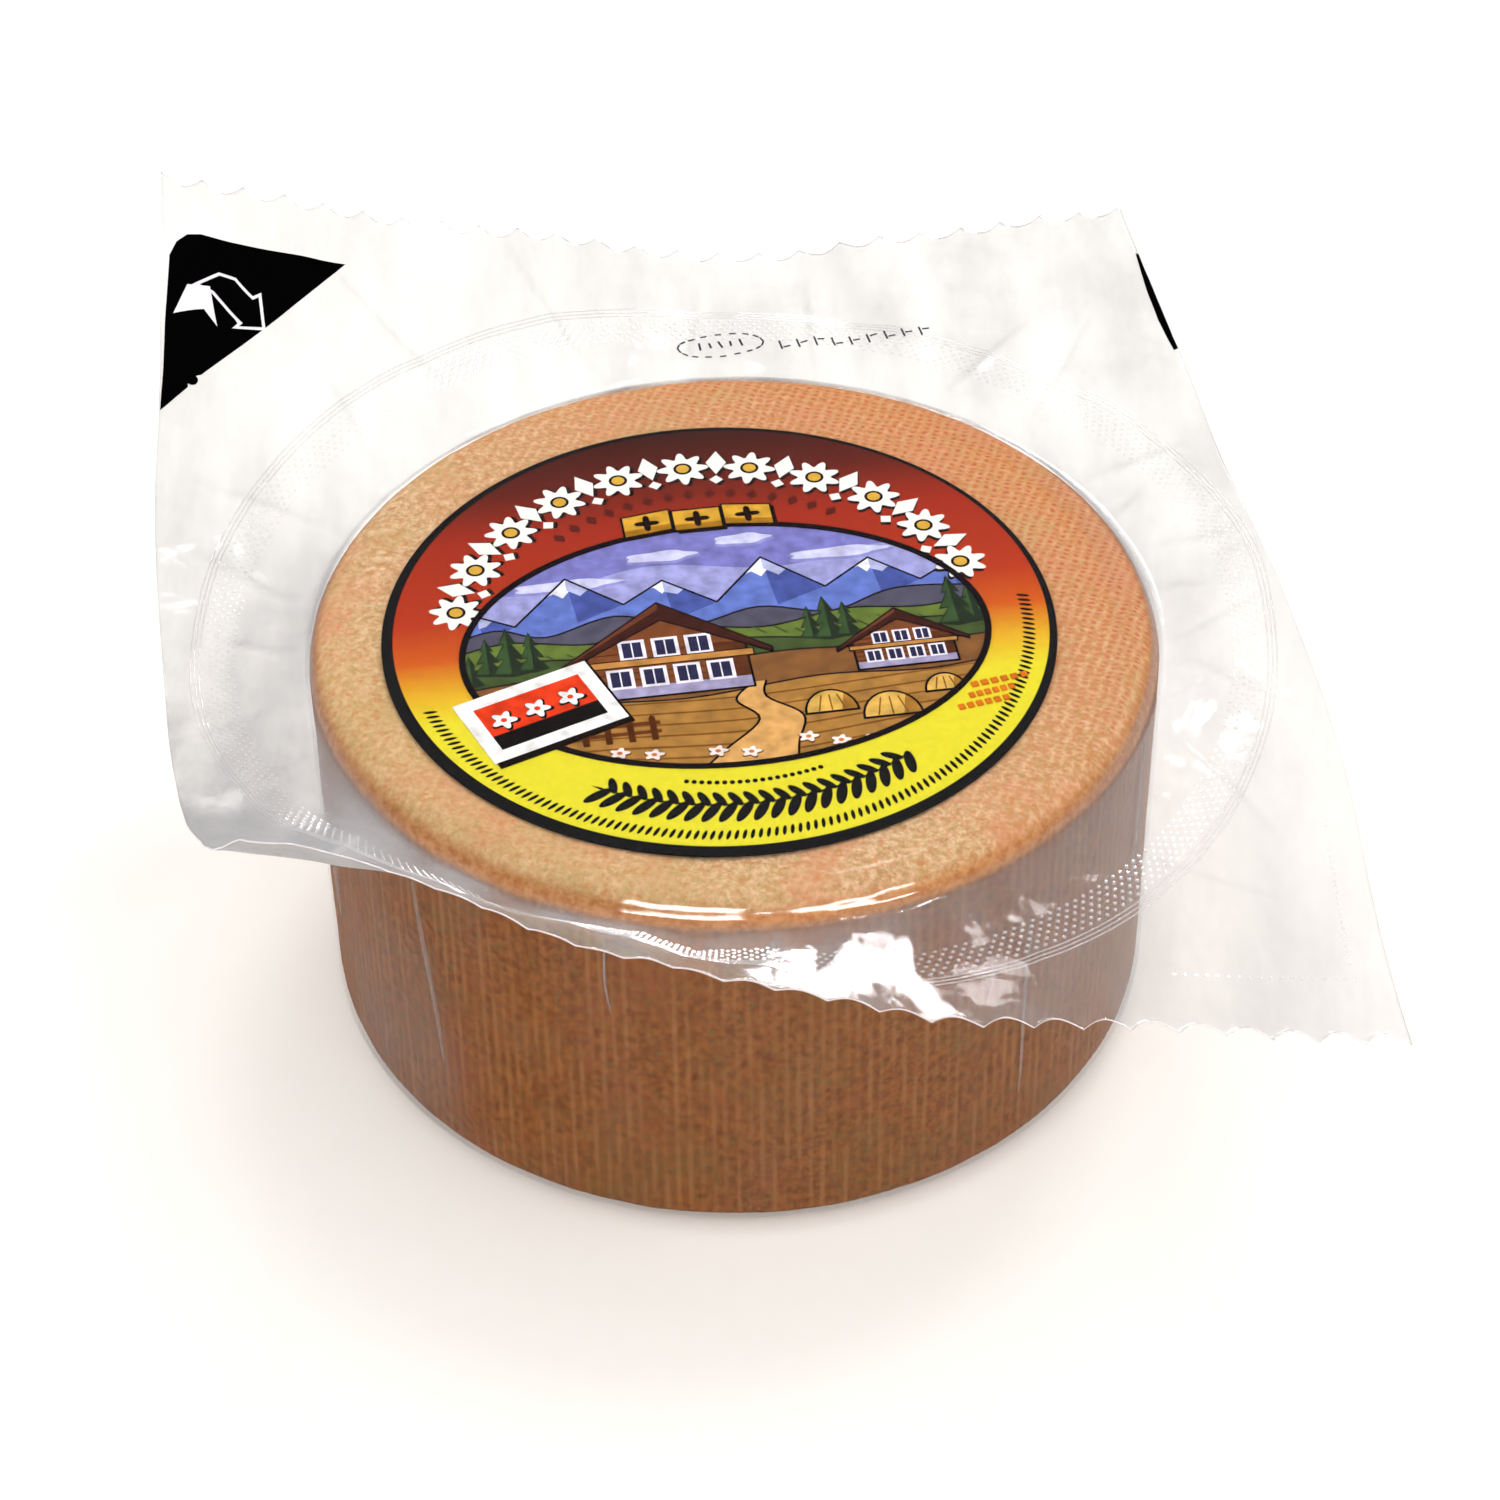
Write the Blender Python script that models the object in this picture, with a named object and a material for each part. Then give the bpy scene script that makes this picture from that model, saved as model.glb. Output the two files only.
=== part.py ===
"""A small drum of monk's head cheese in its clear vacuum pack, standing on its base.

Four pieces: the cheese, the round paper label on it, the deep film pocket that the cheese sits
in, and the flat lid film, which clings to the top and stands out all round as a flange.
Metres, +Z up. The origin is on the drum's axis, on the floor, and the photographed front is -Y.
"""

import math

import bmesh
import bpy
from mathutils import Matrix, Vector

# The drum and its skin-tight film
PACK_RADIUS = 0.0600
PACK_HEIGHT = 0.0623
FILM_THICKNESS = 0.0003
GAP = 0.0003
TOP_EDGE_RADIUS = 0.005
BASE_EDGE_RADIUS = 0.004

# The label, a little off the drum's centre as it was laid on
LABEL_RADIUS = 0.0468
LABEL_THICKNESS = 0.0003
LABEL_PLACE = Vector((-0.0020, -0.0035))
# The lid film stays level past the label's edge, then steps down to the rind
LABEL_MARGIN = 0.0006
LABEL_STEP = 0.0012

# The lid film as it was cut, flat: across, along, where the drum sits in it and how it is turned
SHEET_WIDTH = 0.1560
SHEET_LENGTH = 0.1704
SHEET_PLACE = Vector((-0.0013, 0.0031))
SHEET_TURN = math.radians(8.6)
TOOTH_COUNT = 24
TOOTH_DEPTH = 0.0018

# The flange leaves the drum just under its rounded edge, and has been bent up and down by hand.
# EDGE_SLOPES are those of its outer edge, in degrees, every 30 degrees round from +X, and at the
# drum it has SLOPE_AT_DRUM of them. It leaves the round edge at LID_LEAVES_AT degrees.
FLANGE_RADIUS = 0.0610
FLANGE_HEIGHT = 0.0580
EDGE_SLOPES = (20, 10, 7, 10, 36, 32, 5, 20, 47, 30, -7, -15)
SLOPE_AT_DRUM = 0.9
LID_LEAVES_AT = 30
RIPPLE_COUNT = 11
RIPPLE_HEIGHT = 0.0006

# How finely the solids are divided
DRUM_SIDES = 72
ARC_STEPS = 4
FLANGE_STEPS = 6
SIDE_STEPS = 24

# A flange strip bent less than this, in radians a metre, is taken as straight
LEAST_BEND = 1e-6

# What follows from the sizes above
CHEESE_RADIUS = PACK_RADIUS - FILM_THICKNESS - GAP
CHEESE_BASE = FILM_THICKNESS + GAP
LABEL_TOP = PACK_HEIGHT - FILM_THICKNESS - GAP
CHEESE_TOP = LABEL_TOP - LABEL_THICKNESS - GAP
EDGE_CENTRE_RADIUS = CHEESE_RADIUS - TOP_EDGE_RADIUS
EDGE_CENTRE_HEIGHT = CHEESE_TOP - TOP_EDGE_RADIUS


def clear_scene():
    for item in list(bpy.data.objects):
        bpy.data.objects.remove(item)


def make_material(name, colour, roughness, metallic=0.0, alpha=1.0):
    material = bpy.data.materials.new(name)
    material.use_nodes = True
    shader = material.node_tree.nodes["Principled BSDF"]
    shader.inputs["Base Color"].default_value = (*colour, 1.0)
    shader.inputs["Roughness"].default_value = roughness
    shader.inputs["Metallic"].default_value = metallic
    shader.inputs["Alpha"].default_value = alpha
    return material


def add_object(name, mesh, material):
    mesh.materials.append(material)
    item = bpy.data.objects.new(name, mesh)
    bpy.context.scene.collection.objects.link(item)
    return item


def arc(radius_at, height_at, radius, start, end, steps=ARC_STEPS):
    """Points (radius, height) along a round edge, from one angle to another, in degrees."""
    angles = [math.radians(start + (end - start) * i / steps) for i in range(steps + 1)]
    return [(radius_at + radius * math.cos(a), height_at + radius * math.sin(a)) for a in angles]


def add_ring(bm, azimuths, radius, height, centre=(0, 0)):
    ring = []
    for a in azimuths:
        x = centre[0] + radius * math.cos(a)
        y = centre[1] + radius * math.sin(a)
        ring.append(bm.verts.new((x, y, height)))
    return ring


def turned(name, profile, material):
    """A closed body turned about Z from a profile that starts and ends on the axis."""
    bm = bmesh.new()
    bottom = bm.verts.new((0, 0, profile[0][1]))
    top = bm.verts.new((0, 0, profile[-1][1]))
    azimuths = [2 * math.pi * i / DRUM_SIDES for i in range(DRUM_SIDES)]
    rings = [add_ring(bm, azimuths, radius, height) for radius, height in profile[1:-1]]
    for i in range(DRUM_SIDES):
        j = (i + 1) % DRUM_SIDES
        bm.faces.new((bottom, rings[0][j], rings[0][i]))
        bm.faces.new((top, rings[-1][i], rings[-1][j]))
        for low, high in zip(rings, rings[1:]):
            bm.faces.new((low[i], low[j], high[j], high[i]))
    mesh = bpy.data.meshes.new(name)
    bm.to_mesh(mesh)
    bm.free()
    mesh.shade_smooth()
    mesh.set_sharp_from_angle(angle=math.radians(35))
    return add_object(name, mesh, material)


def add_cheese():
    """The drum of cheese: its top and bottom edges are rounded by the mould's cloth."""
    base_centre = CHEESE_RADIUS - BASE_EDGE_RADIUS, CHEESE_BASE + BASE_EDGE_RADIUS
    profile = [(0, CHEESE_BASE)]
    profile += arc(*base_centre, BASE_EDGE_RADIUS, -90, 0)
    profile += arc(EDGE_CENTRE_RADIUS, EDGE_CENTRE_HEIGHT, TOP_EDGE_RADIUS, 0, 90)
    profile += [(0, CHEESE_TOP)]
    rind = make_material("washed_rind", (0.48, 0.22, 0.08), 0.55)
    return turned("cheese", profile, rind)


def add_label():
    """The paper disc that lies on the cheese under the lid film."""
    low = LABEL_TOP - LABEL_THICKNESS
    profile = [(0, low), (LABEL_RADIUS, low), (LABEL_RADIUS, LABEL_TOP), (0, LABEL_TOP)]
    paper = make_material("printed_paper", (0.75, 0.25, 0.05), 0.5)
    label = turned("label", profile, paper)
    label.location = (LABEL_PLACE.x, LABEL_PLACE.y, 0)
    return label


def add_pocket_film():
    """The deep-drawn pocket: a cup that holds the drum and ends under the flange."""
    rim = FLANGE_HEIGHT - FILM_THICKNESS - 2 * GAP
    centre = PACK_RADIUS - BASE_EDGE_RADIUS, BASE_EDGE_RADIUS
    inner_radius = BASE_EDGE_RADIUS - FILM_THICKNESS
    profile = [(0, 0)]
    profile += arc(*centre, BASE_EDGE_RADIUS, -90, 0)
    profile += [(PACK_RADIUS, rim), (PACK_RADIUS - FILM_THICKNESS, rim)]
    profile += arc(*centre, inner_radius, 0, -90)
    profile += [(0, FILM_THICKNESS)]
    film = make_material("pocket_film", (0.85, 0.83, 0.84), 0.1, alpha=0.35)
    return turned("pocket_film", profile, film)


def edge_slope(azimuth):
    """The slope of the sheet's outer edge in a direction: a smooth curve through EDGE_SLOPES."""
    count = len(EDGE_SLOPES)
    place = azimuth / (2 * math.pi) * count
    i = math.floor(place)
    f = place - i
    before, here, there, after = (EDGE_SLOPES[(i + k) % count] for k in (-1, 0, 1, 2))
    tangent_here = (there - before) / 2
    tangent_there = (after - here) / 2
    slope = (
        (2 * f**3 - 3 * f**2 + 1) * here
        + (f**3 - 2 * f**2 + f) * tangent_here
        + (3 * f**2 - 2 * f**3) * there
        + (f**3 - f**2) * tangent_there
    )
    return math.radians(slope)


def cut_outline(tooth_depth):
    """The flat sheet's edge, anticlockwise: straight long sides and toothed short ones."""
    left = SHEET_PLACE.x - SHEET_WIDTH / 2
    front = SHEET_PLACE.y - SHEET_LENGTH / 2
    steps = 2 * TOOTH_COUNT
    points = []
    for i in range(steps):
        notch = tooth_depth * (i % 2)
        points.append((left + SHEET_WIDTH * i / steps, front + notch))
    for i in range(SIDE_STEPS):
        points.append((left + SHEET_WIDTH, front + SHEET_LENGTH * i / SIDE_STEPS))
    for i in range(steps):
        notch = tooth_depth * (i % 2)
        points.append((left + SHEET_WIDTH * (1 - i / steps), front + SHEET_LENGTH - notch))
    for i in range(SIDE_STEPS):
        points.append((left, front + SHEET_LENGTH * (1 - i / SIDE_STEPS)))
    turn = Matrix.Rotation(SHEET_TURN, 2)
    return [turn @ Vector(p) for p in points]


def flange_point(azimuth, reach, along):
    """A point of the bent flange, from the flat way along it, outwards from the drum.

    reach is how far the uncut edge is from the axis, in that direction, while it lies flat.
    """
    strip = reach - FLANGE_RADIUS
    slope = edge_slope(azimuth)
    start = slope * SLOPE_AT_DRUM
    bend = (slope - start) / strip
    share = along / strip
    if abs(bend) < LEAST_BEND:
        out, up = along * math.cos(start), along * math.sin(start)
    else:
        out = (math.sin(start + bend * along) - math.sin(start)) / bend
        up = (math.cos(start) - math.cos(start + bend * along)) / bend
    up += RIPPLE_HEIGHT * share**2 * math.sin(RIPPLE_COUNT * azimuth)
    radius = FLANGE_RADIUS + out
    return radius * math.cos(azimuth), radius * math.sin(azimuth), FLANGE_HEIGHT + up


def add_lid_film():
    """The lid film: flat over label and rind, down over the round edge, then out as the flange."""
    raised = PACK_HEIGHT
    low = CHEESE_TOP + GAP + FILM_THICKNESS
    over_edge = TOP_EDGE_RADIUS + GAP + FILM_THICKNESS
    edge = arc(EDGE_CENTRE_RADIUS, EDGE_CENTRE_HEIGHT, over_edge, 90, LID_LEAVES_AT)
    columns = cut_outline(0)
    azimuths = [math.atan2(p.y, p.x) for p in columns]
    label_edge = [
        (LABEL_RADIUS + LABEL_MARGIN, raised),
        (LABEL_RADIUS + LABEL_MARGIN + LABEL_STEP, low),
    ]

    bm = bmesh.new()
    centre = bm.verts.new((LABEL_PLACE.x, LABEL_PLACE.y, raised))
    rings = []
    for radius, height in label_edge:
        rings.append(add_ring(bm, azimuths, radius, height, LABEL_PLACE))
    for radius, height in edge:
        rings.append(add_ring(bm, azimuths, radius, height))
    for step in range(FLANGE_STEPS):
        ring = []
        for a, p in zip(azimuths, columns):
            along = (p.length - FLANGE_RADIUS) * step / FLANGE_STEPS
            ring.append(bm.verts.new(flange_point(a, p.length, along)))
        rings.append(ring)
    cut_edge = []
    for p, tooth in zip(columns, cut_outline(TOOTH_DEPTH)):
        a = math.atan2(tooth.y, tooth.x)
        cut_edge.append(bm.verts.new(flange_point(a, p.length, tooth.length - FLANGE_RADIUS)))
    rings.append(cut_edge)
    count = len(columns)
    for i in range(count):
        j = (i + 1) % count
        bm.faces.new((centre, rings[0][i], rings[0][j]))
        for inner, outer in zip(rings, rings[1:]):
            bm.faces.new((inner[i], outer[i], outer[j], inner[j]))
    mesh = bpy.data.meshes.new("lid_film")
    bm.to_mesh(mesh)
    bm.free()
    mesh.shade_smooth()
    film = make_material("lid_film", (0.90, 0.88, 0.90), 0.08, alpha=0.35)
    lid = add_object("lid_film", mesh, film)

    # Split into triangles before it gets its thickness, so that both faces are split alike
    lid.modifiers.new("Split", "TRIANGULATE")
    wall = lid.modifiers.new("Thickness", "SOLIDIFY")
    wall.thickness = FILM_THICKNESS
    wall.offset = -1
    return lid


clear_scene()
add_cheese()
add_label()
add_pocket_film()
add_lid_film()
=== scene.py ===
import math

import bmesh
import bpy
import numpy as np
from mathutils import Matrix, Vector


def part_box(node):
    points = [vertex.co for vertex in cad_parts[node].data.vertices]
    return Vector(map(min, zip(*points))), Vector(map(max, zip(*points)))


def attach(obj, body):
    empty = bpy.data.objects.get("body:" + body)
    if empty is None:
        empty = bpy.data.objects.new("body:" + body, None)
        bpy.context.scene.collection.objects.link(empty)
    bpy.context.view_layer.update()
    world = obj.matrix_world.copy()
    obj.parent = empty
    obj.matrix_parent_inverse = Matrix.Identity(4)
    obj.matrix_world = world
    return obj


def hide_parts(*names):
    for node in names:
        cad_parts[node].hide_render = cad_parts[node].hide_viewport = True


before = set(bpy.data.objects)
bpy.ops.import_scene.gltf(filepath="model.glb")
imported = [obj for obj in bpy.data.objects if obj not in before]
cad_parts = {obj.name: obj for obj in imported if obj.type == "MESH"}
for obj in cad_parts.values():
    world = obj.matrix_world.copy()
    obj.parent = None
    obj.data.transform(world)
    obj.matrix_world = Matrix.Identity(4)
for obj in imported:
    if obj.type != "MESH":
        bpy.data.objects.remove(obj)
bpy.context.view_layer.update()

# The cheese
# A drum of semi-hard cheese with a washed rind. Pressing left the ribs of the mould's cloth on
# its side and the weave on its top; washing turned the side orange-brown and the top tan. It
# fills the film, nearer than the solids' gap lets the plain drum come.
cheese_low, cheese_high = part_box("cheese")
SNUG = 0.00025
RIND_RADIUS = cheese_high.x + SNUG
RIND_TOP = cheese_high.z + SNUG
RIND_BASE = cheese_low.z - SNUG
TOP_EDGE_RADIUS = 0.005
BASE_EDGE_RADIUS = 0.004
EDGE_CENTRE_RADIUS = cheese_high.x - TOP_EDGE_RADIUS
EDGE_CENTRE_HEIGHT = cheese_high.z - TOP_EDGE_RADIUS
BASE_CENTRE_RADIUS = cheese_high.x - BASE_EDGE_RADIUS
BASE_CENTRE_HEIGHT = cheese_low.z + BASE_EDGE_RADIUS
TOP_SHOWS_FROM = 0.043
SIDE_RINGS = 26
TOP_RINGS = 11
TOP_EDGE_RINGS = 9
BASE_EDGE_RINGS = 5
HIDDEN_RINGS = 3

RIB_PITCH = 0.00165
RIB_COUNT = round(2 * math.pi * RIND_RADIUS / RIB_PITCH)
RIB_DEPTH = 0.00013
COLUMNS_PER_RIB = 6
RELIEF_DEPTH = 0.0005
RELIEF_SIZE = 0.009
WEAR_SIZE = 0.00625
GRAIN_SIZE = 0.0013
PATCH_SIZE = 0.013
WEAVE_PITCH = 0.0015
WEAVE_TURN = math.radians(18)
SIDE_STREAK_SIZE = 0.0016
BACK_RIGHT = (0.72, 0.69, 0)


def arc(radius_at, height_at, radius, start, end, steps):
    """Points (radius, height) along a round edge, from one angle to another, in degrees."""
    angles = [math.radians(start + (end - start) * i / steps) for i in range(steps + 1)]
    return [(radius_at + radius * math.cos(a), height_at + radius * math.sin(a)) for a in angles]


def between(start, end, steps):
    """Points that divide a straight stretch into equal steps, without its two ends."""
    shares = [i / steps for i in range(1, steps)]
    return [tuple(a + (b - a) * share for a, b in zip(start, end)) for share in shares]


def mesh_object(name, points, faces):
    """A new smooth-shaded object in the scene, from points and faces."""
    mesh = bpy.data.meshes.new(name)
    mesh.from_pydata([tuple(p) for p in points], [], faces)
    mesh.update()
    mesh.shade_smooth()
    piece = bpy.data.objects.new(name, mesh)
    bpy.context.scene.collection.objects.link(piece)
    return piece


def turned(name, profile, columns, centre=(0, 0)):
    """A closed body turned about an upright axis, from a profile that starts and ends on it."""
    angles = np.arange(columns) * 2 * math.pi / columns
    points = [(centre[0], centre[1], profile[0][1])]
    for radius, height in profile[1:-1]:
        x = centre[0] + radius * np.cos(angles)
        y = centre[1] + radius * np.sin(angles)
        points += list(zip(x, y, np.full(columns, height)))
    points.append((centre[0], centre[1], profile[-1][1]))
    top = len(points) - 1
    rings = len(profile) - 2
    faces = []
    for i in range(columns):
        j = (i + 1) % columns
        faces.append((0, 1 + j, 1 + i))
        for ring in range(rings - 1):
            low = 1 + ring * columns
            high = low + columns
            faces.append((low + i, low + j, high + j, high + i))
        last = 1 + (rings - 1) * columns
        faces.append((top, last + i, last + j))
    return mesh_object(name, points, faces)


def point_attribute(piece, name, values):
    """Stores one number for each point of a piece, for its material to read."""
    attribute = piece.data.attributes.new(name, "FLOAT", "POINT")
    attribute.data.foreach_set("value", np.asarray(values, np.float32))


def linear(hex_colour):
    """A colour written as sRGB hex, turned to the linear values that shaders take."""
    shares = [int(hex_colour[i : i + 2], 16) / 255 for i in (1, 3, 5)]
    return (*[s / 12.92 if s <= 0.04045 else ((s + 0.055) / 1.055) ** 2.4 for s in shares], 1)


def node_adder(tree):
    """The one function that adds a node to a tree, with its settings and links."""

    def add(kind, inputs=None, **settings):
        """An input is a value, a hex colour, or a socket or node whose first output is linked."""
        node = tree.nodes.new(kind)
        for name, value in settings.items():
            setattr(node, name, value)
        for key, value in (inputs or {}).items():
            if isinstance(key, int):
                socket = node.inputs[key]
            else:
                socket = next(s for s in node.inputs if s.name == key and not s.is_unavailable)
            if isinstance(value, bpy.types.Node):
                value = next(s for s in value.outputs if not s.is_unavailable)
            if isinstance(value, bpy.types.NodeSocket):
                tree.links.new(value, socket)
            elif isinstance(value, str) and value.startswith("#"):
                socket.default_value = linear(value)
            else:
                socket.default_value = value
        return node

    return add


def new_material(name):
    """An empty node material, and the function that adds its nodes."""
    material = bpy.data.materials.new(name)
    material.use_nodes = True
    material.node_tree.nodes.clear()
    return material, node_adder(material.node_tree)


def layered(add, base, *layers):
    """A colour with others laid over it in turn, each where its share says."""
    for share, colour in layers:
        base = add("ShaderNodeMix", {"Factor": share, "A": base, "B": colour}, data_type="RGBA")
    return base


def new_geometry_tree(name, sizes):
    """A Geometry Nodes tree with a mesh in, a mesh out and one input for each named size."""
    tree = bpy.data.node_groups.new(name, "GeometryNodeTree")
    tree.interface.new_socket("Mesh", in_out="INPUT", socket_type="NodeSocketGeometry")
    tree.interface.new_socket("Mesh", in_out="OUTPUT", socket_type="NodeSocketGeometry")
    for size, kind in sizes.items():
        tree.interface.new_socket(size, in_out="INPUT", socket_type="NodeSocket" + kind)
    add = node_adder(tree)
    return tree, add, add("NodeGroupInput").outputs


def grow(piece, tree, values):
    """Runs a Geometry Nodes tree on a piece with these inputs, and keeps the plain mesh."""
    modifier = piece.modifiers.new(tree.name, "NODES")
    modifier.node_group = tree
    for item in tree.interface.items_tree:
        if item.in_out == "INPUT" and item.name in values:
            modifier[item.identifier] = values[item.name]
    graph = bpy.context.evaluated_depsgraph_get()
    mesh = bpy.data.meshes.new_from_object(piece.evaluated_get(graph))
    piece.modifiers.clear()
    piece.data = mesh
    return piece


def ribs(add, axes, count):
    """The nodes of the ribs round the drum, as a wave: 1 on each crest and -1 in each groove."""
    azimuth = add("ShaderNodeMath", {0: axes.outputs[1], 1: axes.outputs[0]}, operation="ARCTAN2")
    rib_turn = add("ShaderNodeMath", {0: azimuth, 1: count}, operation="MULTIPLY")
    return add("ShaderNodeMath", {0: rib_turn}, operation="COSINE")


# Washed rind: a moist, slightly greasy skin, tan on the top with the cloth's weave in it and
# redder towards the back right, a thin orange-brown band round the edge, and ribbed
# orange-brown down the side. It was smeared with brine while it ripened, which leaves it
# mottled and grainy. The film clings to it, so it has no gloss of its own. A Map Range's inputs
# 1 to 4 are the two limits that it reads from and the two that it gives.
def washed_rind():
    material, add = new_material("washed_rind")
    place = add("ShaderNodeTexCoord").outputs["Object"]
    axes = add("ShaderNodeSeparateXYZ", {0: place})
    way_up = add("ShaderNodeAttribute", attribute_name="way_up").outputs["Fac"]
    back_right = add("ShaderNodeVectorMath", {0: place, 1: BACK_RIGHT}, operation="DOT_PRODUCT")
    towards_back_right = back_right.outputs["Value"]

    patches = add("ShaderNodeTexNoise", {"Vector": place, "Scale": 1 / PATCH_SIZE, "Detail": 3})
    blots = add("ShaderNodeSeparateColor", {0: patches.outputs["Color"]}).outputs
    grain_settings = {"Scale": 1 / GRAIN_SIZE, "Detail": 4, "Roughness": 0.75}
    grain = add("ShaderNodeTexNoise", {"Vector": place, **grain_settings})
    specks = add("ShaderNodeSeparateColor", {0: grain.outputs["Color"]}).outputs
    grain_share = add("ShaderNodeMapRange", {"Value": grain, 1: 0.38, 2: 0.62})
    pink_share, olive_share, orange_specks, olive_specks, broken, warm, yellow, woven = (
        add("ShaderNodeMapRange", {"Value": value, 1: start, 2: end, 3: least, 4: most})
        for value, start, end, least, most in (
            (blots[0], 0.5, 0.68, 0.0, 0.6),
            (blots[1], 0.52, 0.7, 0.0, 0.5),
            (specks[1], 0.53, 0.7, 0.0, 0.8),
            (specks[2], 0.54, 0.7, 0.0, 0.75),
            (specks[0], 0.36, 0.56, 0.15, 1.2),
            (towards_back_right, -0.02, 0.058, 0.0, 0.65),
            (towards_back_right, -0.03, -0.05, 0.0, 0.5),
            (towards_back_right, -0.01, 0.042, 0.22, 0.8),
        )
    )

    # The cloth's weave shows on the top, most at the back right: rows a pitch apart, crossed
    # by finer threads, so that each row is a line of short broken dashes
    cloth = add("ShaderNodeMapping", {"Vector": place, "Rotation": (0, 0, WEAVE_TURN)})
    scale = 2 * math.pi / 20 / WEAVE_PITCH
    waver = {"Distortion": 4.6, "Detail": 3, "Detail Scale": 0.8}
    rows = add("ShaderNodeTexWave", {"Vector": cloth, "Scale": scale, **waver}).outputs["Fac"]
    waver = {"Distortion": 7.0, "Detail": 2}
    threads = add(
        "ShaderNodeTexWave", {"Vector": cloth, "Scale": scale * 1.4, **waver}, bands_direction="Y"
    )
    weave_mark = add("ShaderNodeMapRange", {"Value": threads.outputs["Fac"], 3: 0.1, 4: 1.0})
    for share in (broken, rows, woven):
        weave_mark = add("ShaderNodeMath", {0: weave_mark, 1: share}, operation="MULTIPLY")

    top = layered(
        add,
        "#bd9160",
        (grain_share, "#edcba2"),
        (warm, "#d98548"),
        (yellow, "#d6b073"),
        (pink_share, "#dc9870"),
        (olive_share, "#c9aa70"),
        (orange_specks, "#cc7f45"),
        (olive_specks, "#b29c5e"),
        (weave_mark, "#c4623a"),
    )

    # Down the side, long streaks follow the ribs, and their crests are paler: a painted highlight
    # where the light catches them
    drawn_out = add("ShaderNodeMapping", {"Vector": place, "Scale": (1, 1, 0.12)})
    streak_scale = 1 / SIDE_STREAK_SIZE
    streaks = add("ShaderNodeTexNoise", {"Vector": drawn_out, "Scale": streak_scale, "Detail": 3})
    streak_share = add("ShaderNodeMapRange", {"Value": streaks, 1: 0.36, 2: 0.64})
    rib = ribs(add, axes, float(RIB_COUNT))
    crest = add("ShaderNodeMapRange", {"Value": rib, 1: -0.4, 2: 1.0, 3: 0.0, 4: 0.4})
    crest_highlight_share = add("ShaderNodeMath", {0: crest, 1: streak_share}, operation="MULTIPLY")
    side = layered(
        add,
        "#6c3a17",
        (grain_share, "#925929"),
        (pink_share, "#8a4d2e"),
        (olive_share, "#75562f"),
        (orange_specks, "#985625"),
        (olive_specks, "#746032"),
        (crest_highlight_share, "#aa774b"),
    )
    edge = layered(add, "#b5713c", (grain_share, "#d09560"))
    edge_share, top_share = (
        add("ShaderNodeMapRange", {"Value": way_up, **limits}, interpolation_type="SMOOTHSTEP")
        for limits in ({1: 0.0, 2: 0.2}, {1: 0.3, 2: 0.62})
    )
    colour = layered(add, side, (edge_share, edge), (top_share, top))

    bump = add("ShaderNodeBump", {"Height": grain, "Strength": 0.6, "Distance": 0.0004})
    sunk = {"Height": weave_mark, "Strength": 0.7, "Distance": 0.0003}
    bump = add("ShaderNodeBump", {**sunk, "Normal": bump}, invert=True)
    rind = add(
        "ShaderNodeBsdfPrincipled",
        {"Base Color": colour, "Roughness": 0.55, "Normal": bump, "Specular IOR Level": 0.0},
    )
    add("ShaderNodeOutputMaterial", {"Surface": rind})
    return material


def rind_relief(rind):
    """The tree that presses the cloth's ribs and the rind's slow unevenness into the drum."""
    sizes = dict.fromkeys(("Rib Count", "Rib Depth", "Relief Depth", "Relief Size"), "Float")
    tree, add, sizes = new_geometry_tree("rind_relief", sizes)
    place = add("GeometryNodeInputPosition")
    rib = ribs(add, add("ShaderNodeSeparateXYZ", {0: place}), sizes["Rib Count"])
    rib_cut = add("ShaderNodeMapRange", {"Value": rib, 1: 1.0, 2: -1.0})

    # The ribs stand only on the side, and fade and come back along their length
    way_up = add("GeometryNodeInputNamedAttribute", {"Name": "way_up"}, data_type="FLOAT")
    off_side = add("ShaderNodeMath", {0: way_up}, operation="ABSOLUTE")
    on_side = add(
        "ShaderNodeMapRange", {"Value": off_side, 1: 0.6, 2: 0.0}, interpolation_type="SMOOTHSTEP"
    )
    long_place = add("ShaderNodeVectorMath", {0: place, 1: (1, 1, 0.35)}, operation="MULTIPLY")
    wear = add("ShaderNodeTexNoise", {"Vector": long_place, "Scale": 1 / WEAR_SIZE, "Detail": 1})
    worn = add("ShaderNodeMapRange", {"Value": wear, 1: 0.35, 2: 0.6, 3: 0.3})
    standing = add("ShaderNodeMath", {0: on_side, 1: worn}, operation="MULTIPLY")
    for share in (standing, sizes["Rib Depth"]):
        rib_cut = add("ShaderNodeMath", {0: rib_cut, 1: share}, operation="MULTIPLY")

    relief_scale = add("ShaderNodeMath", {0: 1.0, 1: sizes["Relief Size"]}, operation="DIVIDE")
    relief = add("ShaderNodeTexNoise", {"Vector": place, "Scale": relief_scale, "Detail": 3})
    relief_cut = add("ShaderNodeMath", {0: relief, 1: sizes["Relief Depth"]}, operation="MULTIPLY")
    depth = add("ShaderNodeMath", {0: rib_cut, 1: relief_cut}, operation="ADD")
    inwards = add("ShaderNodeMath", {0: depth, 1: -1.0}, operation="MULTIPLY")
    normal = add("GeometryNodeInputNormal")
    offset = add("ShaderNodeVectorMath", {0: normal, "Scale": inwards}, operation="SCALE")
    pressed = add("GeometryNodeSetPosition", {"Geometry": sizes["Mesh"], "Offset": offset})
    real = add("GeometryNodeRealizeInstances", {0: pressed})
    finished = add("GeometryNodeSetMaterial", {0: real, "Material": rind})
    add("NodeGroupOutput", {0: finished})
    return tree


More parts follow.
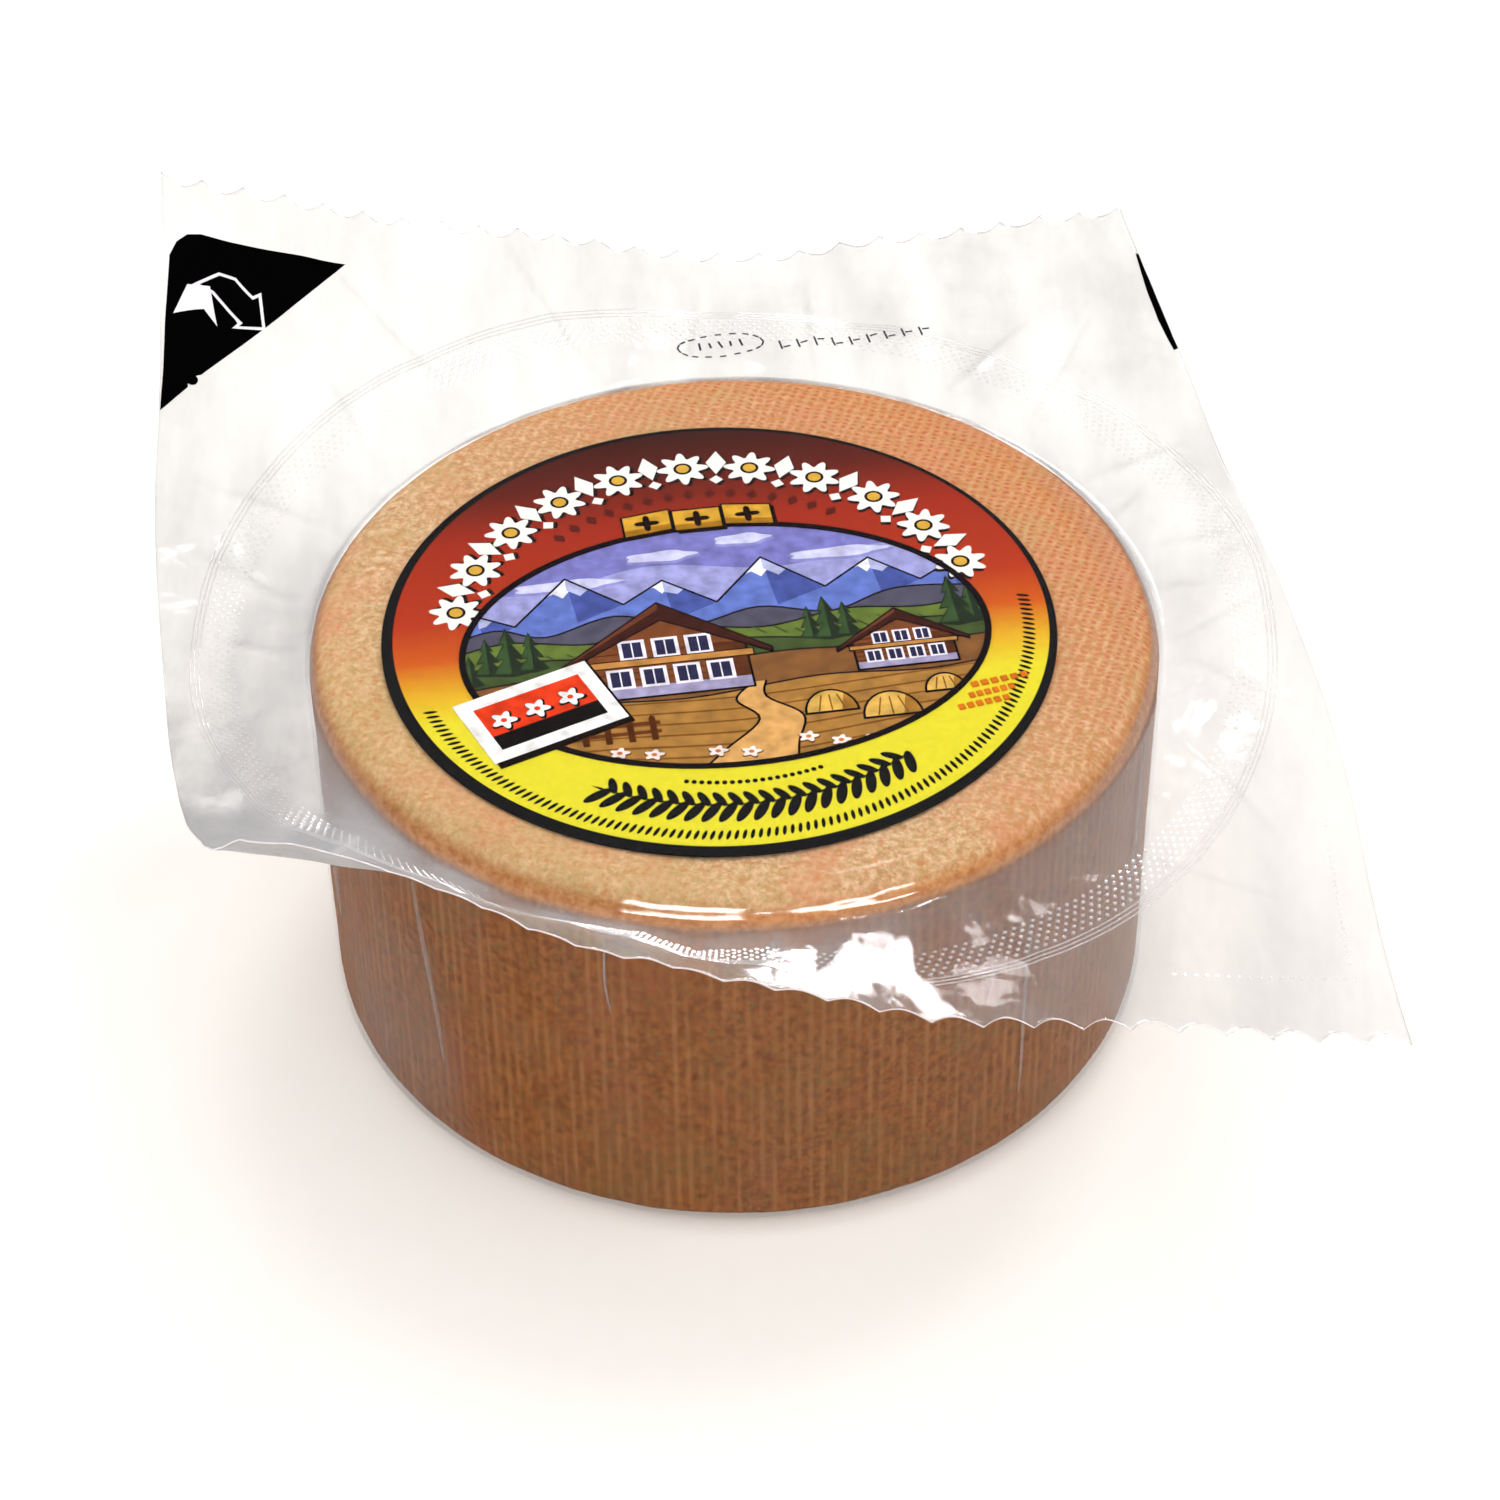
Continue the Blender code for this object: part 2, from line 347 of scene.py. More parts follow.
base_bend = BASE_EDGE_RADIUS + SNUG
top_bend = TOP_EDGE_RADIUS + SNUG
profile = [(0, RIND_BASE)]
profile += between((0, RIND_BASE), (BASE_CENTRE_RADIUS, RIND_BASE), HIDDEN_RINGS)
profile += arc(BASE_CENTRE_RADIUS, BASE_CENTRE_HEIGHT, base_bend, -90, 0, BASE_EDGE_RINGS)
side_ends = ((RIND_RADIUS, BASE_CENTRE_HEIGHT), (RIND_RADIUS, EDGE_CENTRE_HEIGHT))
profile += between(*side_ends, SIDE_RINGS)
profile += arc(EDGE_CENTRE_RADIUS, EDGE_CENTRE_HEIGHT, top_bend, 0, 90, TOP_EDGE_RINGS)
profile += between((EDGE_CENTRE_RADIUS, RIND_TOP), (TOP_SHOWS_FROM, RIND_TOP), TOP_RINGS)
profile += [(TOP_SHOWS_FROM, RIND_TOP)]
profile += between((TOP_SHOWS_FROM, RIND_TOP), (0, RIND_TOP), HIDDEN_RINGS)
profile += [(0, RIND_TOP)]

rind_columns = RIB_COUNT * COLUMNS_PER_RIB
drum = turned("cheese_drum", profile, rind_columns)
ring_turns = []
for radius, height in profile:
    if height > EDGE_CENTRE_HEIGHT:
        in_from_edge = max(radius - EDGE_CENTRE_RADIUS, 0)
        ring_turns.append(math.atan2(height - EDGE_CENTRE_HEIGHT, in_from_edge))
    elif height < BASE_CENTRE_HEIGHT:
        in_from_edge = max(radius - BASE_CENTRE_RADIUS, 0)
        ring_turns.append(-math.atan2(BASE_CENTRE_HEIGHT - height, in_from_edge))
    else:
        ring_turns.append(0)
turns = [ring_turns[0], *np.repeat(ring_turns[1:-1], rind_columns), ring_turns[-1]]
point_attribute(drum, "way_up", np.array(turns) / (math.pi / 2))
grow(
    drum,
    rind_relief(washed_rind()),
    {
        "Rib Count": float(RIB_COUNT),
        "Rib Depth": RIB_DEPTH,
        "Relief Depth": RELIEF_DEPTH,
        "Relief Size": RELIEF_SIZE,
    },
)
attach(drum, "root")
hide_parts("cheese")

# The label's paper
# A disc of coated paper, printed black to its edge, with a coloured field that runs from
# maroon at the head to yellow at the foot. It was laid on the cheese before the film.
label_low, label_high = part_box("label")
LABEL_RADIUS = (label_high.x - label_low.x) / 2
LABEL_TOP = label_high.z
LABEL_BASE = label_low.z
LABEL_PLACE = (label_low + label_high) / 2
LABEL_TURN = math.radians(8)
LABEL_COLUMNS = 180
INK_LAYER = 0.00002
FIELD_RADIUS = 45.5
FIELD_SHIFT = (0.3, 0.45)
EDGE_SOFTNESS = 0.00006
EDGES_SHARP_FROM = math.radians(35)
INK_GRAIN = 0.00111
FIELD_GRAIN = 0.000714


def on_label(x, y):
    """A place on the label, given in millimetres from its centre along its own axes."""
    across = 0.001 * (x * math.cos(LABEL_TURN) - y * math.sin(LABEL_TURN))
    along = 0.001 * (x * math.sin(LABEL_TURN) + y * math.cos(LABEL_TURN))
    return LABEL_PLACE.x + across, LABEL_PLACE.y + along


# Offset ink: a colour with the fine grain of a halftone screen, drawn coarser than the real one
# so that it shows. The film clings to it, and shines in its place.
def offset_ink(name, colour, mottle=0.06, mean=1.0, grain=INK_GRAIN, detail=3):
    """The colour is a hex colour, or a function that adds the nodes of one that changes."""
    material, add = new_material(name)
    place = add("ShaderNodeTexCoord").outputs["Object"]
    screen = add("ShaderNodeTexNoise", {"Vector": place, "Scale": 1 / grain, "Detail": detail})
    limits = {1: 0.3, 2: 0.7, 3: mean - mottle, 4: mean + mottle}
    brightness = add("ShaderNodeMapRange", {"Value": screen, **limits})
    if callable(colour):
        colour = colour(add, place)
    uneven = add("ShaderNodeHueSaturation", {"Color": colour, "Value": brightness})
    settings = {"Base Color": uneven, "Roughness": 0.5, "Specular IOR Level": 0.0}
    ink = add("ShaderNodeBsdfPrincipled", settings)
    add("ShaderNodeOutputMaterial", {"Surface": ink})
    return material


def run_down_label(add, place):
    """The nodes of the field's colour, which runs from its foot to its head."""
    up_label = (-math.sin(LABEL_TURN), math.cos(LABEL_TURN), 0)
    middle = add("ShaderNodeVectorMath", {0: place, 1: tuple(LABEL_PLACE)}, operation="SUBTRACT")
    height = add("ShaderNodeVectorMath", {0: middle, 1: up_label}, operation="DOT_PRODUCT")
    height = height.outputs["Value"]
    share = add("ShaderNodeMapRange", {"Value": height, 1: -LABEL_RADIUS, 2: LABEL_RADIUS})
    run = add("ShaderNodeValToRGB", {"Fac": share})
    stops = {
        0.0: "#e5da2e",
        0.34: "#e8d92c",
        0.405: "#e5b023",
        0.485: "#cf5a14",
        0.57: "#b53512",
        0.76: "#a02912",
        0.87: "#601b0e",
        1.0: "#34100a",
    }
    ramp = run.color_ramp
    ramp.elements[0].color = linear(stops[0.0])
    ramp.elements[-1].color = linear(stops[1.0])
    for position, hex_colour in list(stops.items())[1:-1]:
        ramp.elements.new(position).color = linear(hex_colour)
    return run.outputs["Color"]


black_ink = offset_ink("black_ink", "#060506", mottle=0.2)
paper_profile = [
    (0, LABEL_BASE),
    (LABEL_RADIUS, LABEL_BASE),
    (LABEL_RADIUS, LABEL_TOP - EDGE_SOFTNESS),
    (LABEL_RADIUS - EDGE_SOFTNESS, LABEL_TOP),
    (0, LABEL_TOP),
]
paper = turned("label_paper", paper_profile, LABEL_COLUMNS, LABEL_PLACE[:2])
paper.data.materials.append(black_ink)
paper.data.set_sharp_from_angle(angle=EDGES_SHARP_FROM)
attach(paper, "root")
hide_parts("label")

field_top = LABEL_TOP + INK_LAYER
field_radius = FIELD_RADIUS * 0.001
field_profile = [(0, LABEL_TOP), (field_radius, LABEL_TOP)]
field_profile += [(field_radius, field_top), (0, field_top)]
field = turned("label_field", field_profile, LABEL_COLUMNS, on_label(*FIELD_SHIFT))
field_ink = offset_ink("field_ink", run_down_label, grain=FIELD_GRAIN, detail=2)
field.data.materials.append(field_ink)
field.data.set_sharp_from_angle(angle=EDGES_SHARP_FROM)
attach(field, "root")

# The label's picture
# An oval view of a mountain farm with a plain tag and plaque, printed like a woodcut in flat
# inks with dark outlines. Each shape's ink lies a hair above the one printed before it.
PICTURE_CENTRE = (0.5, -3.2)
PICTURE_HALF = (36.5, 26.0)
OVAL_POINTS = 96
INK_RISE = 0.0000003
FOOT_OF_PICTURE = -40
OUTLINE = 0.34
KEY_LINE = "#140d10"
BRUSH_GRAIN = 0.00238
oval = []
for i in range(OVAL_POINTS):
    turn = 2 * math.pi * i / OVAL_POINTS
    x = PICTURE_CENTRE[0] + PICTURE_HALF[0] * math.cos(turn)
    y = PICTURE_CENTRE[1] + PICTURE_HALF[1] * math.sin(turn)
    oval.append((x, y))
printed = bmesh.new()
printed_ink = printed.loops.layers.float_color.new("ink")
ink_heights = [field_top + INK_RISE]


def inside_oval(points):
    """A closed outline, cut off where it leaves the picture's oval."""
    for start, end in zip(oval, oval[1:] + oval[:1]):
        edge = Vector(end) - Vector(start)
        depths = [edge.cross(Vector(p) - Vector(start)) for p in points]
        kept = []
        for i, (point, depth) in enumerate(zip(points, depths)):
            before, depth_before = points[i - 1], depths[i - 1]
            if (depth >= 0) != (depth_before >= 0):
                share = depth_before / (depth_before - depth)
                kept.append(tuple(Vector(before).lerp(Vector(point), share)))
            if depth >= 0:
                kept.append(point)
        points = kept
    return points


def print_shape(points, hex_colour, in_oval=True):
    """Prints a closed outline, in label millimetres, as one thin layer of a flat ink."""
    if in_oval:
        points = inside_oval(points)
    clean = [p for i, p in enumerate(points) if (Vector(p) - Vector(points[i - 1])).length > 1e-3]
    if len(clean) < 3:
        return
    area = sum(a[0] * b[1] - b[0] * a[1] for a, b in zip(clean, clean[1:] + clean[:1]))
    if area < 0:
        clean.reverse()
    ink_heights.append(ink_heights[-1] + INK_RISE)
    low = [printed.verts.new((*on_label(*p), LABEL_TOP)) for p in clean]
    high = [printed.verts.new((*on_label(*p), ink_heights[-1])) for p in clean]
    made = [printed.faces.new(high), printed.faces.new(list(reversed(low)))]
    for i in range(len(clean)):
        made.append(printed.faces.new((low[i - 1], low[i], high[i], high[i - 1])))
    for face in made:
        for loop in face.loops:
            loop[printed_ink] = linear(hex_colour)


def print_line(points, width, hex_colour=KEY_LINE, closed=False, in_oval=True):
    """Prints a line of even width along a path, stretch by stretch."""
    ends = list(zip(points, points[1:] + points[:1] if closed else points[1:]))
    for start, end in ends:
        along = Vector(end) - Vector(start)
        if along.length < 1e-3:
            continue
        reach = along.normalized() * width * 0.3
        side = Vector((-along.y, along.x)).normalized() * width / 2
        a, b = Vector(start) - reach, Vector(end) + reach
        corners = [tuple(p) for p in (a - side, b - side, b + side, a + side)]
        print_shape(corners, hex_colour, in_oval)


def smooth_path(points, steps=6):
    """A smooth path through a few points, with some more between each two."""
    path = []
    for i in range(len(points) - 1):
        p0 = Vector(points[max(i - 1, 0)])
        p1, p2 = Vector(points[i]), Vector(points[i + 1])
        p3 = Vector(points[min(i + 2, len(points) - 1)])
        for step in range(steps):
            t = step / steps
            a = 2 * p1 + (p2 - p0) * t
            b = (2 * p0 - 5 * p1 + 4 * p2 - p3) * t**2
            c = (3 * p1 - p0 - 3 * p2 + p3) * t**3
            path.append(tuple((a + b + c) / 2))
    path.append(tuple(points[-1]))
    return path


def ring_of(x, y, half_width, half_height, count=12, waves=0, wave_depth=0.0):
    """The outline of an oval spot, or with waves of a lobed one."""
    outline = []
    for i in range(count):
        turn = 2 * math.pi * i / count
        reach = 1 + wave_depth * math.cos(waves * turn)
        across = half_width * reach * math.cos(turn)
        outline.append((x + across, y + half_height * reach * math.sin(turn)))
    return outline


def print_lobed(x, y, half_width, half_height, count, hex_colour, depth, in_oval=True):
    """Prints a spot with five lobes: a cloud where they are shallow, a flower where deep."""
    print_shape(ring_of(x, y, half_width, half_height, count, 5, depth), hex_colour, in_oval)


def box_of(x, y, width, height, turn=0.0):
    """The corners of a rectangle, from its centre, turned by an angle in degrees."""
    c, s = math.cos(math.radians(turn)), math.sin(math.radians(turn))
    halves = [(dx * width / 2, dy * height / 2) for dx, dy in ((-1, -1), (1, -1), (1, 1), (-1, 1))]
    return [(x + c * dx - s * dy, y + s * dx + c * dy) for dx, dy in halves]


def print_land(skyline, hex_colour, smooth=True):
    """Fills the picture below a skyline, and draws its dark outline."""
    line = smooth_path(skyline) if smooth else list(skyline)
    ground = line + [(line[-1][0], FOOT_OF_PICTURE), (line[0][0], FOOT_OF_PICTURE)]
    print_shape(ground, hex_colour)
    print_line(line, OUTLINE)


print_shape(oval, "#a0a0d6")
high_sky = smooth_path([(-40, 14), (-24, 11), (-8, 15), (10, 12), (26, 15), (40, 11)])
print_shape([(-40, 30), *high_sky, (40, 30)], "#7c7ac0")
for x, y, length in ((-20, 12.5, 7.5), (-6, 17.0, 5.0), (19, 14.0, 7.0), (6, 19.2, 4.0)):
    print_lobed(x, y - 0.5, length * 1.05, 1.3, 28, "#908eca", 0.12)
    print_lobed(x, y, length, 1.15, 28, "#cfcef0", 0.12)

# The mountains: each peak has a shaded right flank and a jagged cap of snow
SNOW_SHARE = 0.4
peaks = [(-40, 4), (-33, 7.5), (-28, 4.5), (-20, 14), (-12.5, 7), (-6.5, 11.5), (0.5, 5.5)]
peaks += [(8, 14.5), (16, 6.5), (23, 12), (29.5, 6), (34, 9), (40, 5)]
print_land(peaks, "#6377c4", smooth=False)
for i in range(1, len(peaks) - 1, 2):
    top, left, right = Vector(peaks[i]), Vector(peaks[i - 1]), Vector(peaks[i + 1])
    foot = Vector((top.x + (right.x - top.x) * 0.1, right.y - 3))
    print_shape([tuple(top), tuple(right), tuple(foot)], "#46559f")
    snow_left, snow_right = top.lerp(left, SNOW_SHARE), top.lerp(right, SNOW_SHARE)
    jagged = [snow_right.lerp(snow_left, share) for share in (0.2, 0.4, 0.6, 0.8)]
    drops = (-1.1, 0.7, -0.9, 0.5)
    cap = [tuple(snow_left), tuple(top), tuple(snow_right)]
    cap += [(p.x, p.y + drop) for p, drop in zip(jagged, drops)]
    print_shape(cap, "#f5f3fb")
    shaded = [tuple(top), tuple(snow_right), (jagged[0].x, jagged[0].y + drops[0])]
    print_shape([*shaded, (top.x, top.y - 2.6)], "#b3b7de")
print_line(peaks, OUTLINE)
rocks = [(-40, 1), (-31, 4), (-24, 1.5), (-14, 4.6), (-4, 1), (6, 3.5), (16, 1), (26, 4.6), (40, 3)]
print_land(rocks, "#514f60")
alp = [(-40, -2), (-30, 1), (-18, -1), (-7, 1.2), (6, -1), (18, 1.2), (29, 0), (40, 2)]
print_land(alp, "#64782f")
for i in range(26):
    x = -36 + 2.9 * i
    print_line([(x, -1.8 + math.sin(i)), (x + 1.6, -3.4 + math.sin(i))], 0.3, "#3d4d22")
meadow = [(-40, -5), (-26, -3.5), (-12, -5), (2, -3), (15, -4.5), (27, -2.5), (40, -4)]
print_land(meadow, "#435527")


def print_fir(x, foot, height):
    """A dark fir with three tiers of branches, lit on its left."""
    half = height * 0.26
    right = [(0, 1.0), (0.45, 0.66), (0.2, 0.68), (0.75, 0.36), (0.3, 0.38), (1.0, 0.08), (0, 0.02)]
    both = right + [(-dx, dy) for dx, dy in reversed(right[1:-1])]
    print_shape([(x + half * dx, foot + height * dy) for dx, dy in both], "#1d2a18")
    lit = [(0, 0.94), (-0.36, 0.68), (-0.1, 0.7), (-0.6, 0.4), (-0.2, 0.4), (-0.8, 0.12), (0, 0.1)]
    print_shape([(x + half * dx, foot + height * dy) for dx, dy in lit], "#36512a")


firs = ((-35, -8, 7), (-32.5, -6, 8.5), (-29.5, -6.6, 11), (-26.4, -6, 9), (12.5, -5, 7.5))
firs += ((15, -5.6, 10), (17.6, -5.2, 8), (35.4, -5, 9), (33.0, -5.4, 11.5))
for x, foot, height in firs:
    print_fir(x, foot, height)

print_land([(-40, -9), (-26, -7.5), (-10, -8), (8, -6.6), (24, -7.8), (40, -7)], "#84552a")
print_land([(-40, -15), (-24, -13.4), (-6, -14.6), (12, -12.6), (27, -13.6), (40, -12)], "#ac7a37")
for i in range(8):
    low = -2.0 * i
    furrow = [(-38, -15.6 + low), (-20, -14.6 + 1.1 * low), (2, -15.4 + 1.2 * low)]
    furrow += [(22, -14.2 + 1.1 * low), (40, -13.2 + low)]
    print_line(smooth_path(furrow), 0.3, "#80501f")
path_left = smooth_path([(3.0, -12.6), (0.0, -16), (2.5, -20.5), (-3.0, -26), (-9, -32)])
path_right = smooth_path([(4.6, -12.6), (4.2, -16), (8.5, -20.5), (7.0, -26), (6, -32)])
print_shape(path_left + list(reversed(path_right)), "#dba561")
print_line(path_left, OUTLINE)
print_line(path_right, OUTLINE)


def print_chalet(x, foot, width, height):
    """A log house seen from its gable, with a wide roof, a balcony and two rows of windows."""
    half = width / 2
    eaves = foot + height * 0.5
    ridge = foot + height
    wall = [(x - half, foot), (x + half, foot), (x + half, eaves)]
    wall += [(x, ridge - 1.2), (x - half, eaves)]
    print_shape(wall, "#7b4525")
    lit_to = x + half * 0.45
    in_shade = [(lit_to, foot), (x + half, foot), (x + half, eaves), (lit_to, eaves)]
    print_shape(in_shade, "#5d3119")
    for i in range(1, 7):
        row = foot + (eaves - foot) * i / 7 + 1
        print_line([(x - half, row), (x + half, row)], 0.18, "#43210f")
    print_shape(box_of(x, foot + height * 0.06, width, height * 0.12), "#a39bbd")
    print_line(wall, OUTLINE, closed=True)
    pane = width * 0.058
    for row, count in ((foot + height * 0.21, 4), (foot + height * 0.51, 3)):
        for i in range(count):
            at = x + width * 0.21 * (i - (count - 1) / 2)
            print_shape(box_of(at, row, pane * 2.9, pane * 3.3), "#efe9f2")
            print_shape(box_of(at, row, pane * 2.1, pane * 2.5), "#2c2b4a")
            print_line([(at, row - pane * 1.3), (at, row + pane * 1.3)], 0.2, "#efe9f2")
    balcony = box_of(x, foot + height * 0.37, width * 1.08, height * 0.07)
    print_shape(balcony, "#c58947")
    print_line(balcony, 0.2, closed=True)
    over = half * 1.32
    drop = eaves - height * 0.1
    thick = height * 0.13
    roof = [(x - over, drop), (x, ridge), (x + over, drop), (x + over, drop - thick * 0.4)]
    roof += [(x, ridge - thick * 1.5), (x - over, drop - thick * 0.4)]
    print_shape(roof, "#401e18")
    lit = [(x - over, drop), (x, ridge), (x, ridge - thick * 0.6), (x - over, drop - thick * 0.1)]
    print_shape(lit, "#6b3a26")
    print_line(roof, OUTLINE * 0.8, closed=True)


print_chalet(-8, -13.5, 22, 20)
print_chalet(24.5, -12.5, 14, 12.5)

for x, y, size in ((12.5, -20.5, 3.6), (20.5, -22.6, 4.0), (28.5, -18.5, 2.8)):
    turns = np.linspace(0, math.pi, 14)
    stack = [(x + size * math.cos(t), y + 1.25 * size * math.sin(t)) for t in turns]
    print_shape(stack, "#dcae55")
    shade = [(x + size * 0.35, y), (x + size, y), *stack[1:5]]
    print_shape(shade, "#a9752d")
    print_line(stack, OUTLINE, closed=True)
    for lean in (-0.5, 0, 0.5):
        straw = [(x + lean * size, y + 0.3), (x + lean * size * 0.6, y + size * 0.95)]
        print_line(straw, 0.22, "#875a22")
for rail_height in (-18.9, -20.7):
    print_line([(-38, rail_height + 0.3), (-11, rail_height)], 0.6, "#6b3818")
for i in range(8):
    x = -34 + 3.1 * i
    post = [(x, -22.4), (x + 0.9, -22.4), (x + 0.9, -17.9), (x + 0.45, -17.3), (x, -17.9)]
    print_shape(post, "#54290f")
flowers = [(-4, -26.2), (0.4, -27.0), (12.6, -26.6), (17.2, -26.8), (21.6, -25.6)]
flowers += [(8.4, -25.2), (-12.5, -25.6), (-17, -24.6), (25.6, -24.0)]
for x, y in flowers:
    print_lobed(x, y, 1.25, 1.0, 30, "#7c4a1e", 0.28)
    print_lobed(x, y + 0.1, 1.15, 0.9, 30, "#f3e3dd", 0.28)
    print_shape(ring_of(x, y + 0.1, 0.4, 0.35, 8), "#c8713a")
print_line(oval, 0.9, closed=True, in_oval=False)

# A gold plaque in three panels at the picture's head
for x, lean in ((-6.9, 0.5), (0.4, 0), (7.7, -0.5)):
    left, right = x - 3.5, x + 3.5
    low, shade, high = 22.2, 23.6, 26.9
    panel = [(left, low - lean), (right, low + lean), (right, high + lean), (left, high - lean)]
    print_shape([(px + 0.5, py - 0.5) for px, py in panel], "#1d0c08", in_oval=False)
    print_shape(panel, "#d6a235", in_oval=False)
    shaded = [panel[0], panel[1], (right, shade + lean), (left, shade - lean)]
    print_shape(shaded, "#a8741c", in_oval=False)
    print_line(panel, 0.3, closed=True, in_oval=False)
    print_shape(ring_of(x, 24.6, 1.3, 1.3, 24, 4, 0.45), "#1d0c08", in_oval=False)

# A white tag, set askew over the picture's foot
TAG_CENTRE = (-26.5, -14.3)
TAG_TURN = 20
TAG_SIZE = (20.0, 13.4)
TAG_FIELD = (15.8, 9.2)
TAG_BAND = (15.8, 3.0)
tag_along = Vector((math.cos(math.radians(TAG_TURN)), math.sin(math.radians(TAG_TURN))))
tag_down = Vector((tag_along.y, -tag_along.x))
tag_shadow = (TAG_CENTRE[0] + 0.7, TAG_CENTRE[1] - 0.9)
tag_foot = Vector(TAG_CENTRE) + 3.1 * tag_down
for centre, size, hex_colour in (
    (tag_shadow, TAG_SIZE, "#120a08"),
    (TAG_CENTRE, TAG_SIZE, "#f8f5f1"),
    (TAG_CENTRE, TAG_FIELD, "#e23c19"),
    (tag_foot, TAG_BAND, "#120e0d"),
):
    print_shape(box_of(*centre, *size, TAG_TURN), hex_colour, in_oval=False)
for i in (-1, 0, 1):
    x, y = Vector(TAG_CENTRE) + 5.0 * i * tag_along - 0.6 * tag_down
    print_lobed(x, y, 1.7, 1.7, 40, "#120e0d", 0.3, in_oval=False)
    print_lobed(x - 0.15, y + 0.2, 1.45, 1.45, 40, "#f8f5f1", 0.3, in_oval=False)
    print_shape(ring_of(x - 0.15, y + 0.2, 0.45, 0.45, 10), "#e23c19", in_oval=False)

# Three short rows of orange marks on the yellow field
for i, length in enumerate((8.4, 6.8, 7.6)):
    for dash in range(6):
        x = 36.0 - 1.5 * i - length / 2 + length * (dash + 0.5) / 6
        mark = box_of(x, -18.0 - 2.2 * i + 0.2 * dash, length / 9, 1.0, 10)
        print_shape(mark, "#d8751a", in_oval=False)


def made_from(shape, name):
    """A new object, not yet in the scene, made from a bmesh, which is then freed."""
    mesh = bpy.data.meshes.new(name)
    shape.to_mesh(mesh)
    shape.free()
    return bpy.data.objects.new(name, mesh)


def shape_colour(add, place):
    """The node that gives each printed shape its own colour."""
    return add("ShaderNodeAttribute", attribute_name="ink").outputs["Color"]


# The picture's inks are mottled more, as if brushed on
picture_inks = offset_ink("picture_inks", shape_colour, 0.26, 0.98, BRUSH_GRAIN, 4)
label_picture = made_from(printed, "label_picture")
bpy.context.scene.collection.objects.link(label_picture)
label_picture.data.materials.append(picture_inks)
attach(label_picture, "root")

# The label's ornament
# Rows of rosettes, lozenges and leaves, printed in white, gold and black on the field and on one
# another. Each row is stepped evenly along a circle round the label's centre.
MARK_LAYER = 0.00001


def flat_mark(name, outline):
    """One printed mark, as a thin closed prism round the origin, in millimetres."""
    marks = bmesh.new()
    low = [marks.verts.new((0.001 * x, 0.001 * y, 0)) for x, y in outline]
    high = [marks.verts.new((0.001 * x, 0.001 * y, INK_LAYER)) for x, y in outline]
    marks.faces.new(high)
    marks.faces.new(list(reversed(low)))
    for i in range(len(outline)):
        marks.faces.new((low[i - 1], low[i], high[i], high[i - 1]))
    return made_from(marks, name)


def row_on_circle():
    """The tree that steps one printed mark along part of a circle, its foot to the centre."""
    tree, add, sizes = new_geometry_tree(
        "row_on_circle",
        {
            "Mark": "Object",
            "Ink": "Material",
            "Count": "Int",
            **dict.fromkeys(("Radius", "Start", "Sweep", "Height"), "Float"),
        },
    )
    circle = add(
        "GeometryNodeCurveArc",
        {
            "Resolution": 180,
            "Radius": sizes["Radius"],
            "Start Angle": sizes["Start"],
            "Sweep Angle": sizes["Sweep"],
        },
    )
    steps = add(
        "GeometryNodeCurveToPoints", {"Curve": circle, "Count": sizes["Count"]}, mode="COUNT"
    )
    tangent = add("ShaderNodeSeparateXYZ", {0: steps.outputs["Tangent"]})
    lean = add(
        "ShaderNodeMath", {0: tangent.outputs[1], 1: tangent.outputs[0]}, operation="ARCTAN2"
    )
    upright = add("ShaderNodeMath", {0: lean, 1: math.pi}, operation="ADD")
    turn = add("ShaderNodeCombineXYZ", {"Z": upright})
    mark = add("GeometryNodeObjectInfo", {"Object": sizes["Mark"]})
    placed = add(
        "GeometryNodeInstanceOnPoints",
        {"Points": steps.outputs["Points"], "Instance": mark.outputs["Geometry"], "Rotation": turn},
    )
    lift = add(
        "ShaderNodeCombineXYZ", {"X": LABEL_PLACE.x, "Y": LABEL_PLACE.y, "Z": sizes["Height"]}
    )
    moved = add("GeometryNodeTransform", {"Geometry": placed, "Translation": lift})
    real = add("GeometryNodeRealizeInstances", {0: moved})
    finished = add("GeometryNodeSetMaterial", {0: real, "Material": sizes["Ink"]})
    add("NodeGroupOutput", {0: finished})
    return tree


row_tree = row_on_circle()


def ornament_row(name, outline, ink, radius, start, end, count, layer=0):
    """A finished row of printed marks, from one direction on the label to another, in degrees."""
    row = mesh_object(name, [], [])
    grow(
        row,
        row_tree,
        {
            "Mark": flat_mark(name + "_mark", outline),
            "Ink": ink,
            "Radius": 0.001 * radius,
            "Start": math.radians(start) + LABEL_TURN,
            "Sweep": math.radians(end - start),
            "Count": count,
            "Height": field_top + MARK_LAYER * layer,
        },
    )
    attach(row, "root")


LEAF_POINTS = 20


def leaf(length, width, lean, x=0.0, y=0.0):
    """The outline of a slender leaf that leans, round a place."""
    outline = []
    for i in range(LEAF_POINTS):
        turn = -2 * math.pi * i / LEAF_POINTS
        up = length / 2 * math.cos(turn)
        outline.append((x + width / 2 * math.sin(turn) + lean * up, y + up))
    return outline[::-1]


def lozenge(width, height, x=0.0, y=0.0):
    """The outline of an upright diamond, round a place."""
    return [(x + width / 2, y), (x, y + height / 2), (x - width / 2, y), (x, y - height / 2)]


white_ink = offset_ink("white_ink", "#f6f2ec", mottle=0.03)
shadow_ink = offset_ink("shadow_ink", "#1c0805", mottle=0.1)
gold_ink = offset_ink("gold_ink", "#d9a83c", mottle=0.1)
dark_red_ink = offset_ink("dark_red_ink", "#5a1408", mottle=0.1)

